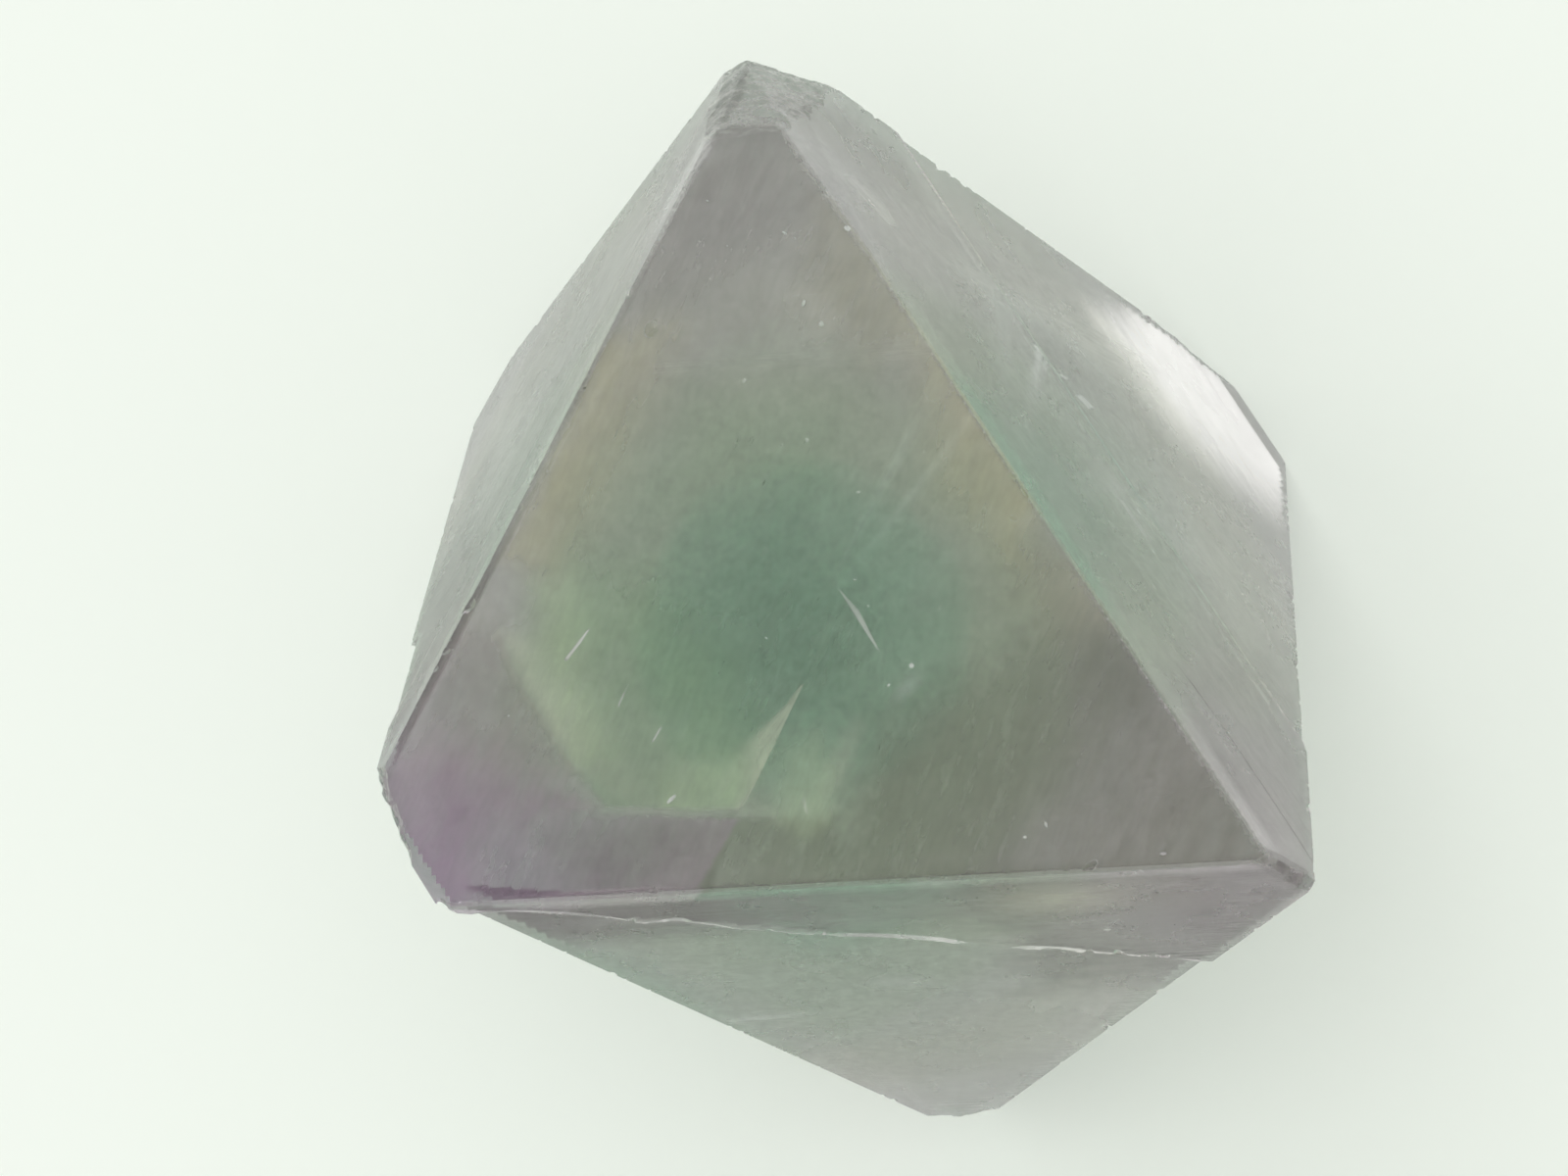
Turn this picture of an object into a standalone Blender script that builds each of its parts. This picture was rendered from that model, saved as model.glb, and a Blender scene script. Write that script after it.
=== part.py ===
"""Fluorite octahedron: one crystal cleaved to eight faces, lying on its back face with the front face up.

Metres, +Z up, resting on z = 0. The outline is cut from a block by the eight cleavage planes. Then the
broken corners are knocked off, and the larger cleavage steps are cut into the faces.
"""

import math

import bmesh
import bpy
from mathutils import Vector

MM = 0.001

# Distance from the middle of the crystal to each cleavage plane. A perfect octahedron has one distance.
FRONT = 9.0 * MM
RIGHT_UPPER = 9.0 * MM
LEFT_UPPER = 9.0 * MM
LOWER = 9.0 * MM
BACK = 10.3 * MM
TIP_BACK = 11.0 * MM
RIGHT_BACK = 10.7 * MM
LEFT_BACK = 7.1 * MM

# Depth of each cleavage step, and the distance from the middle to the riser that ends it.
RIGHT_STEP_DEPTH = 0.12 * MM
RIGHT_STEP_RISER = 2.2 * MM
LOWER_STEP_DEPTH = 0.30 * MM
LOWER_STEP_RISER = 2.95 * MM
LEFT_STEP_DEPTH = 0.10 * MM
LEFT_STEP_RISER = 6.4 * MM
LEFT_BACK_STEP_DEPTH = 0.50 * MM
LEFT_BACK_STEP_RISER = 0.35 * MM

BLOCK_SIZE = 60.0 * MM

CRYSTAL_COLOR = (0.42, 0.47, 0.40, 1.0)
CRYSTAL_ROUGHNESS = 0.25
CRYSTAL_IOR = 1.434
CRYSTAL_NAME = "fluorite_octahedron"


def corner_direction(azimuth):
    """A corner of an octahedron whose front face points up, at this azimuth in degrees."""
    turn = math.radians(azimuth)
    rise = 1 / math.sqrt(3)
    reach = math.sqrt(1 - rise**2)
    return Vector((reach * math.cos(turn), reach * math.sin(turn), rise))


TIP = corner_direction(90)
LEFT = corner_direction(210)
RIGHT = corner_direction(330)


def towards(tip, left, right):
    """The direction with these shares of the three upper corners' directions."""
    return (tip * TIP + left * LEFT + right * RIGHT).normalized()


def cleavage_planes():
    """The eight faces, each as its outward normal and its distance from the middle."""
    return [
        (towards(1, 1, 1), FRONT),
        (towards(1, -1, 1), RIGHT_UPPER),
        (towards(1, 1, -1), LEFT_UPPER),
        (towards(-1, 1, 1), LOWER),
        (towards(-1, -1, -1), BACK),
        (towards(1, -1, -1), TIP_BACK),
        (towards(-1, -1, 1), RIGHT_BACK),
        (towards(-1, 1, -1), LEFT_BACK),
    ]


def broken_corner_planes():
    """The flats left where a corner has been knocked off."""
    tip_break = [
        (towards(1, 0.48, -0.52), 12.20 * MM),
        (towards(1, -0.48, 0.33), 12.79 * MM),
        (towards(1, 0.05, 0.05), 14.42 * MM),
    ]
    edge_below_tip = [(towards(1, -0.84, 0.94), 9.53 * MM)]
    right_back_chip = [(towards(0.74, -1, -0.73), 12.46 * MM)]
    bottom_break = [
        (towards(-1, 0.10, 0.05), 13.9 * MM),
        (towards(-1, -0.30, 0.25), 14.0 * MM),
        (towards(-1, -0.05, -0.25), 13.7 * MM),
    ]
    left_back_chip = [
        (towards(-0.12, 0.10, -1), 14.7 * MM),
        (towards(0.30, -0.05, -1), 14.5 * MM),
    ]
    left_chip = [(towards(0.10, 1, -0.30), 12.75 * MM)]
    right_chip = [(towards(-0.10, 0.06, 1), 15.45 * MM)]
    tip_side = tip_break + edge_below_tip
    back_side = right_back_chip + bottom_break + left_back_chip
    return tip_side + back_side + left_chip + right_chip


def step_wedges():
    """Each cleavage step, as the two planes that bound the wedge of crystal that split away."""
    back = towards(-1, -1, -1)
    return {
        "right_step_cutter": [
            (towards(1, -1, 1), RIGHT_UPPER - RIGHT_STEP_DEPTH),
            (back, -RIGHT_STEP_RISER),
        ],
        "left_step_cutter": [
            (towards(1, 1, -1), LEFT_UPPER - LEFT_STEP_DEPTH),
            (back, -LEFT_STEP_RISER),
        ],
        "lower_step_cutter": [
            (towards(-1, 1, 1), LOWER - LOWER_STEP_DEPTH),
            (towards(-1, -0.21, -0.79), -LOWER_STEP_RISER),
        ],
        "left_back_step_cutter": [
            (towards(-1, 1, -1), LEFT_BACK - LEFT_BACK_STEP_DEPTH),
            (towards(-1, 1, 1), LEFT_BACK_STEP_RISER),
        ],
    }


def cut_flat(mesh, normal, distance, keep_inside):
    """Cuts the solid by a plane, keeps one side of it and closes the cut."""
    geometry = mesh.verts[:] + mesh.edges[:] + mesh.faces[:]
    cut = bmesh.ops.bisect_plane(
        mesh,
        geom=geometry,
        plane_co=normal * distance,
        plane_no=normal,
        clear_outer=keep_inside,
        clear_inner=not keep_inside,
    )
    rim = [part for part in cut["geom_cut"] if isinstance(part, bmesh.types.BMEdge)]
    if rim:
        bmesh.ops.edgenet_fill(mesh, edges=rim)


def add_block(name, planes, keep_inside, collection):
    """An object made of a block with everything outside, or inside, the planes cut away."""
    mesh = bmesh.new()
    bmesh.ops.create_cube(mesh, size=BLOCK_SIZE)
    for normal, distance in planes:
        cut_flat(mesh, normal, distance, keep_inside)
    bmesh.ops.recalc_face_normals(mesh, faces=mesh.faces)
    data = bpy.data.meshes.new(name)
    mesh.to_mesh(data)
    mesh.free()
    block = bpy.data.objects.new(name, data)
    collection.objects.link(block)
    return block


def crystal_material():
    material = bpy.data.materials.new("fluorite")
    material.use_nodes = True
    shader = material.node_tree.nodes["Principled BSDF"]
    shader.inputs["Base Color"].default_value = CRYSTAL_COLOR
    shader.inputs["Roughness"].default_value = CRYSTAL_ROUGHNESS
    shader.inputs["Metallic"].default_value = 0.0
    shader.inputs["IOR"].default_value = CRYSTAL_IOR
    shader.inputs["Transmission Weight"].default_value = 1.0
    return material


def new_collection(name):
    collection = bpy.data.collections.new(name)
    bpy.context.scene.collection.children.link(collection)
    return collection


def cut_steps(crystal, cutters):
    """Takes each step's wedge out of the crystal with a Boolean, and parents the wedge to the crystal."""
    for name, planes in step_wedges().items():
        wedge = add_block(name, planes, False, cutters)
        wedge.parent = crystal
        wedge.display_type = "WIRE"
        wedge.hide_render = True
        cut = crystal.modifiers.new(name, "BOOLEAN")
        cut.operation = "DIFFERENCE"
        cut.solver = "EXACT"
        cut.object = wedge


def rest_over_origin(crystal):
    """Moves the crystal so that its box's bottom centre is the origin."""
    bpy.context.view_layer.update()
    evaluated = crystal.evaluated_get(bpy.context.evaluated_depsgraph_get())
    corners = [Vector(corner) for corner in evaluated.bound_box]
    low = Vector(min(corner[axis] for corner in corners) for axis in range(3))
    high = Vector(max(corner[axis] for corner in corners) for axis in range(3))
    middle = (low + high) / 2
    crystal.location = (-middle.x, -middle.y, -low.z)


def main():
    for old in list(bpy.data.objects):
        bpy.data.objects.remove(old)
    part = new_collection(CRYSTAL_NAME)
    cutters = new_collection("cutters")
    planes = cleavage_planes() + broken_corner_planes()
    crystal = add_block(CRYSTAL_NAME, planes, True, part)
    crystal.data.materials.append(crystal_material())
    cut_steps(crystal, cutters)
    rest_over_origin(crystal)


main()
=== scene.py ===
"""Looks of the fluorite octahedron: satin cleavage faces, broken corners, colour zones and inner cracks.

Laid out as an add-on and run as a script. Everything is in metres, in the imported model's own frame.
Places inside the crystal are given along its three upper corners, in inradii from its middle.
"""

import math
import random

import bmesh
import bpy
import numpy as np
from bpy.props import FloatProperty, FloatVectorProperty, IntProperty, PointerProperty
from mathutils import Matrix, Vector, noise
from mathutils.bvhtree import BVHTree


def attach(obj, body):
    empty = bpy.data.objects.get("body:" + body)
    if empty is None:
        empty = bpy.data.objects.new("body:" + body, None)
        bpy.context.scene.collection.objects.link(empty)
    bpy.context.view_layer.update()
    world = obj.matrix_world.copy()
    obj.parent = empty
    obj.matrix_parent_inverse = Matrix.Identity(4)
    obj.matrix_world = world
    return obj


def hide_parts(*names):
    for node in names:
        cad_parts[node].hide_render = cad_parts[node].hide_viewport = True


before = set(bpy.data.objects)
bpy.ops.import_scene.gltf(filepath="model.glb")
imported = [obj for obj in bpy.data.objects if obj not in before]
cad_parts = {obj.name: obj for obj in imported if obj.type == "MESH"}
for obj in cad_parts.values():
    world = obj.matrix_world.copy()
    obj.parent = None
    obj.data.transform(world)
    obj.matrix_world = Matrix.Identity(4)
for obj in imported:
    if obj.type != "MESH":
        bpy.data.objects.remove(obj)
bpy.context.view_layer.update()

bl_info = {
    "name": "Fluorite Octahedron",
    "version": (1, 0, 0),
    "blender": (4, 5, 0),
    "location": "3D Viewport > Sidebar > Fluorite",
    "description": "Builds a cleaved fluorite crystal with its breaks, steps, colour zones and inner cracks",
    "category": "Object",
}

MM = 0.001
CAD_NODE = "fluorite_octahedron"
BODY = "root"
CRYSTAL_IOR = 1.434
CLEAVAGE_ANGLE = math.acos(1 / 3)  # between the normals of two cleavage faces that share an edge
PROUD_GAP = 0.02  # how far a corner may stand past a flat that still counts as outermost, in millimetres
CUTTER_HEIGHT = 12.0  # how tall the block over a broken corner is, in millimetres
FLOOR_GAP = 0.05  # how far the floor lies under the crystal, in millimetres
FLOOR_REACH = 1.5  # half the floor's side, in metres
# The camera's place from the middle in millimetres, where it looks, and its upper side.
CAMERA_PLACE = (11.778, -11.633, 110.845)
CAMERA_AHEAD = (-0.11083, 0.11716, -0.98691)
CAMERA_UP = (0.06015, 0.99200, 0.11101)
WINDOW_WAY = (-0.62, 0.50, 0.60)  # where the brightest part of the daylight comes from


# ---------------------------------------------------------------- the crystal's own directions


def corner_direction(azimuth):
    """A corner of an octahedron whose front face points up, at this azimuth in degrees."""
    turn = math.radians(azimuth)
    rise = 1 / math.sqrt(3)
    reach = math.sqrt(1 - rise**2)
    return Vector((reach * math.cos(turn), reach * math.sin(turn), rise))


TIP = corner_direction(90)
LEFT = corner_direction(210)
RIGHT = corner_direction(330)


def towards(tip, left, right):
    """The direction with these shares of the three upper corners' directions."""
    return (tip * TIP + left * LEFT + right * RIGHT).normalized()


# Each cleavage face's outward normal, and the edge that its steps run along.
FACES = {
    "front": (towards(1, 1, 1), towards(0, -1, 1)),
    "right": (towards(1, -1, 1), towards(-1, 0, 1)),
    "left": (towards(1, 1, -1), towards(-1, 1, 0)),
    "lower": (towards(-1, 1, 1), towards(0, -1, 1)),
    "back": (towards(-1, -1, -1), towards(0, 1, -1)),
    "tip_back": (towards(1, -1, -1), towards(0, 1, -1)),
    "right_back": (towards(-1, -1, 1), towards(1, 0, 1)),
    "left_back": (towards(-1, 1, -1), towards(1, 1, 0)),
}
EQUAL_FACES = ("front", "right", "left", "lower")
SLIM_FLAT = towards(1, -0.84, 0.94)  # the smooth narrow flat beside the broken tip


def solid_points():
    """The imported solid's corners, as rows of three numbers."""
    return np.array([vertex.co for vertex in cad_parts[CAD_NODE].data.vertices], float)


def face_distances():
    """How far each cleavage plane is from the frame's origin, along its normal."""
    points = solid_points()
    return {name: float((points @ np.array(normal)).max()) for name, (normal, _) in FACES.items()}


def middle_and_inradius():
    """The point that is equally far from the four equal faces, and that distance."""
    distances = face_distances()
    rows = [[*FACES[name][0], 1.0] for name in EQUAL_FACES]
    solved = np.linalg.solve(np.array(rows), np.array([distances[name] for name in EQUAL_FACES]))
    return Vector(solved[:3]), float(solved[3])


def proud_planes():
    """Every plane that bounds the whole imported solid, as rows of a normal and its level."""
    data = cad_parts[CAD_NODE].data
    points = solid_points()
    planes = {}
    for polygon in data.polygons:
        level = polygon.normal.dot(data.vertices[polygon.vertices[0]].co)
        reach = float((points @ np.array(polygon.normal)).max())
        if reach < level + PROUD_GAP * MM:
            planes[tuple(round(part, 3) for part in polygon.normal)] = [*polygon.normal, reach]
    return np.array(list(planes.values()))


def solid_search():
    """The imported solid's faces, ready for finding the nearest one to a spot."""
    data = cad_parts[CAD_NODE].data
    corners = [vertex.co.copy() for vertex in data.vertices]
    return BVHTree.FromPolygons(corners, [tuple(polygon.vertices) for polygon in data.polygons])


FACE_DISTANCE = face_distances()
MIDDLE, INRADIUS = middle_and_inradius()
PLANES = proud_planes()
SOLID = solid_search()

# For each face, layers of flake scars: count, then reach along and across, length, width and depth in
# millimetres.
FLAKES = {
    "front": [(10, 10, 8, 9.0, 1.2, 0.012)],
    "right": [(12, 11, 7, 13.0, 1.0, 0.012)],
    "left": [(14, 11, 9, 12.0, 0.9, 0.02)],
    "lower": [(8, 11, 9, 10.0, 1.0, 0.02)],
    "back": [(10, 10, 8, 9.0, 1.2, 0.04)],
    "tip_back": [(24, 11, 9, 11.0, 1.3, 0.05)],
    "right_back": [(24, 11, 9, 11.0, 1.3, 0.05)],
    "left_back": [(24, 11, 9, 11.0, 1.3, 0.05)],
}
# The ends of the ledge across the lower face, in millimetres from the middle towards tip, left and right,
# and the bites that make it wavy, in the same terms as the flakes.
LEDGE = ((-0.34, 12.91, 1.82), (-5.08, -1.73, 11.72))
LEDGE_BITES = (22, 8.2, 0.12, 4.5, 0.95, 0.30)
# Colour zones: name, centre in inradii towards tip, left and right, radius in inradii, squareness, wobble,
# colour let through, and over what depth in millimetres.
ZONES = [
    ("zone_core", (0.0, 0.0, 0.0), 0.44, 4, 0.16, (0.55, 0.88, 0.80), 7.0),
    ("zone_green", (-0.03, 0.05, 0.0), 0.74, 6, 0.10, (0.84, 0.98, 0.80), 11.0),
]
# Surface tint by distance from the middle, in inradii.
TINT_START, TINT_END = 0.9, 1.8
TINTS = [
    (0.95, (0.94, 0.99, 0.99)),
    (1.06, (0.96, 1.00, 0.97)),
    (1.17, (0.99, 1.00, 0.94)),
    (1.27, (1.00, 0.985, 0.94)),
    (1.42, (0.99, 0.955, 0.98)),
    (1.75, (0.985, 0.94, 0.98)),
]
# Tinted corners: which way, where the tint starts and is full in inradii from the middle, and its colour.
CORNER_TINTS = [
    (LEFT, 0.75, 1.35, (0.93, 0.83, 0.97)),
    (RIGHT, 1.05, 1.6, (0.97, 0.88, 0.93)),
]
# Veils and healed cracks inside: face, depth under it in millimetres, strength, how much of the line's start,
# its end, its first edge and its second edge fades out, colour, then both edges as points on the face.
PALE, YELLOW, PINK, BLUE = (0.96, 0.97, 0.95), (0.95, 0.97, 0.78), (0.95, 0.88, 0.92), (0.88, 0.95, 0.96)
VEILS = [
    (
        "front", 0.5, 0.66, (0.3, 0.02, 0.6, 0.0), YELLOW,
        [(-2.2, -4.6), (-1.1, -3.0), (0.1, -2.25), (0.60, -1.72)],
        [(-1.0, -4.77), (-0.25, -3.4), (0.3, -2.4), (0.66, -1.74)],
    ),
    (
        "front", 0.5, 0.34, (0.02, 0.05, 0.8, 0.0), PINK,
        [(-4.4, -6.6), (-3.6, -5.6), (-3.0, -4.55)],
        [(-2.29, -6.77), (-1.6, -5.8), (-1.0, -4.77)],
    ),
    (
        "front", 0.6, 0.22, (0.3, 0.4, 0.15, 0.85), YELLOW,
        [
            (-6.3, 0.1), (-5.75, -1.5), (-5.2, -2.8), (-4.55, -3.6), (-4.0, -4.1), (-3.0, -4.4),
            (-1.8, -4.55),
        ],
        [
            (-4.6, 0.6), (-4.3, -0.9), (-3.9, -2.1), (-3.5, -2.7), (-3.1, -3.1), (-2.5, -3.5),
            (-1.6, -3.7),
        ],
    ),
    (
        "front", 0.3, 0.95, (0.1, 0.1, 0.3, 0.3), PALE,
        [(-4.21, -0.15), (-4.45, -0.5), (-4.83, -0.95)],
        [(-4.30, -0.2), (-4.58, -0.5), (-4.92, -0.9)],
    ),
    (
        "front", 0.4, 0.50, (0.3, 0.3, 0.4, 0.4), PALE,
        [(-3.32, -1.41), (-4.25, -3.23)],
        [(-3.40, -1.41), (-4.33, -3.23)],
    ),
    (
        "front", 0.4, 0.60, (0.3, 0.3, 0.4, 0.4), PALE,
        [(-2.60, -2.49), (-2.90, -2.96)],
        [(-2.70, -2.49), (-2.99, -2.96)],
    ),
    (
        "front", 0.5, 0.85, (0.1, 0.1, 0.2, 0.1), PALE,
        [(1.46, 0.60), (1.85, -0.15), (2.43, -1.15)],
        [(1.43, 0.58), (2.02, -0.12), (2.46, -1.12)],
    ),
    (
        "front", 0.7, 0.30, (0.5, 0.5, 0.5, 0.5), BLUE,
        [(2.3, -2.3), (3.2, -1.3)],
        [(2.8, -2.6), (3.7, -1.7)],
    ),
    (
        "front", 0.7, 0.22, (0.4, 0.4, 0.5, 0.4), YELLOW,
        [(0.4, -4.7), (1.0, -3.3), (1.6, -2.2)],
        [(1.6, -4.6), (1.9, -3.5), (2.5, -2.3)],
    ),
    (
        "front", 0.5, 0.75, (0.4, 0.4, 0.4, 0.4), PALE,
        [(0.42, -4.25), (0.55, -4.85)],
        [(0.55, -4.25), (0.68, -4.85)],
    ),
    (
        "front", 0.6, 0.22, (0.5, 0.5, 0.5, 0.5), PALE,
        [(0.7, 7.4), (1.9, 6.2)],
        [(1.4, 7.7), (2.3, 6.6)],
    ),
    (
        "front", 0.6, 0.18, (0.5, 0.5, 0.5, 0.5), PALE,
        [(5.0, -5.9), (6.8, -5.2)],
        [(5.2, -5.2), (6.8, -4.4)],
    ),
    (
        "front", 0.6, 0.20, (0.5, 0.5, 0.5, 0.5), PALE,
        [(-0.1, 8.4), (0.9, 8.8)],
        [(-0.1, 8.6), (0.9, 9.0)],
    ),
    # Painted light: this pale band across the right face towards its far corner stands in for light coming
    # through the thin corner.
    (
        "right", 0.3, 0.40, (0.4, 0.2, 0.5, 0.5), PALE,
        [(-7.4, -2.8), (-5.7, 1.0), (-4.1, 6.5), (-2.4, 11.3)],
        [(-6.2, -3.9), (-3.9, -0.75), (-1.9, 3.5), (0.0, 7.5)],
    ),
    (
        "right", 0.15, 0.45, (0.2, 0.2, 0.3, 0.3), PALE,
        [(-8.22, -4.81), (-7.0, -4.18), (-6.45, -3.72)],
        [(-8.32, -4.13), (-7.12, -2.91), (-6.3, -3.18)],
    ),
    (
        "right", 0.1, 0.90, (0.2, 0.2, 0.2, 0.2), PALE,
        [(-2.99, 0.39), (-2.37, 0.80)],
        [(-2.98, 0.86), (-2.41, 1.29)],
    ),
    (
        "right", 0.1, 0.85, (0.2, 0.2, 0.2, 0.2), PALE,
        [(-2.15, 1.25), (-1.89, 1.56)],
        [(-2.14, 1.54), (-1.92, 1.93)],
    ),
    (
        "right", 0.1, 0.85, (0.2, 0.2, 0.2, 0.2), PALE,
        [(-1.51, 1.44), (-0.97, 1.79)],
        [(-1.49, 2.03), (-0.99, 2.35)],
    ),
    (
        "right", 0.2, 0.30, (0.3, 0.3, 0.4, 0.4), PALE,
        [(0.98, -0.74), (3.20, -0.62)],
        [(0.92, -0.14), (3.15, -0.02)],
    ),
    (
        "right", 0.4, 0.22, (0.5, 0.5, 0.5, 0.5), PALE,
        [(-0.1, -2.0), (4.6, 1.4)],
        [(-0.4, 1.6), (4.7, 5.4)],
    ),
    (
        "left", 0.15, 0.55, (0.1, 0.6, 0.2, 0.6), PALE,
        [(-9.26, 6.6), (-7.43, 6.3), (-5.32, 6.2)],
        [(-9.43, 4.6), (-7.63, 4.2), (-5.39, 4.4)],
    ),
    (
        "left", 0.3, 0.30, (0.5, 0.5, 0.4, 0.6), PALE,
        [(-3.3, 6.6), (-0.7, 6.6), (1.7, 6.4)],
        [(-3.3, 3.5), (-0.6, 3.8), (1.9, 3.3)],
    ),
    (
        "lower", 0.3, 0.30, (0.5, 0.4, 0.4, 0.5), YELLOW,
        [(4.2, 5.4), (6.3, 5.5), (8.4, 5.8)],
        [(4.0, 3.6), (6.1, 3.1), (8.3, 3.0)],
    ),
    (
        "lower", 0.2, 0.35, (0.4, 0.4, 0.3, 0.4), PINK,
        [(-7.4, 6.2), (-4.3, 6.3), (-1.9, 6.2)],
        [(-7.1, 4.8), (-4.2, 5.4), (-2.0, 5.3)],
    ),
    (
        "lower", 0.5, 0.40, (0.4, 0.4, 0.2, 0.6), PALE,
        [(-6.3, 3.8), (-3.4, 4.6), (-0.7, 3.7), (1.2, 2.8)],
        [(-6.1, 2.8), (-3.5, 3.5), (-0.9, 2.4), (1.0, 1.5)],
    ),
]
# Patches under a face: colour and glow, how solid, then the outline as places on the face with how soft the
# edge is there, in millimetres. Many are the crystal's own tints and milky clouding; the dark and grey ones
# are painted shade, the dark mauve ones also the crystal's purple tint, and on the right face the white ones
# and the glowing glare are painted light.
# The glare glows: it is painted light, a reflection laid as a patch under the right face.
MILK, WHITE, GLARE = (0.48, 0.51, 0.43, 0.0), (1.00, 1.00, 0.98, 0.0), (1.00, 1.00, 0.97, 0.90)
LIME, GREEN, DEEP = (0.82, 1.00, 0.67, 0.0), (0.29, 0.50, 0.26, 0.0), (0.12, 0.25, 0.15, 0.0)
# The dark grey-green at the end of the next line is painted shade over the lower and right parts of the
# front.
AMBER, TAN, PAINTED_DARK_SHADE = (0.74, 0.66, 0.36, 0.0), (0.42, 0.39, 0.24, 0.0), (0.12, 0.14, 0.09, 0.0)
MAUVE, PLUM = (0.50, 0.36, 0.47, 0.0), (0.32, 0.14, 0.35, 0.0)
# The next line holds painted shade: a grey and a darker grey for the side faces, and a dark mauve that is
# both the crystal's purple tint and painted shade.
GREY, PAINTED_SHADE, DARK_MAUVE = (0.30, 0.29, 0.27, 0.0), (0.18, 0.17, 0.16, 0.0), (0.26, 0.18, 0.24, 0.0)
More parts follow.
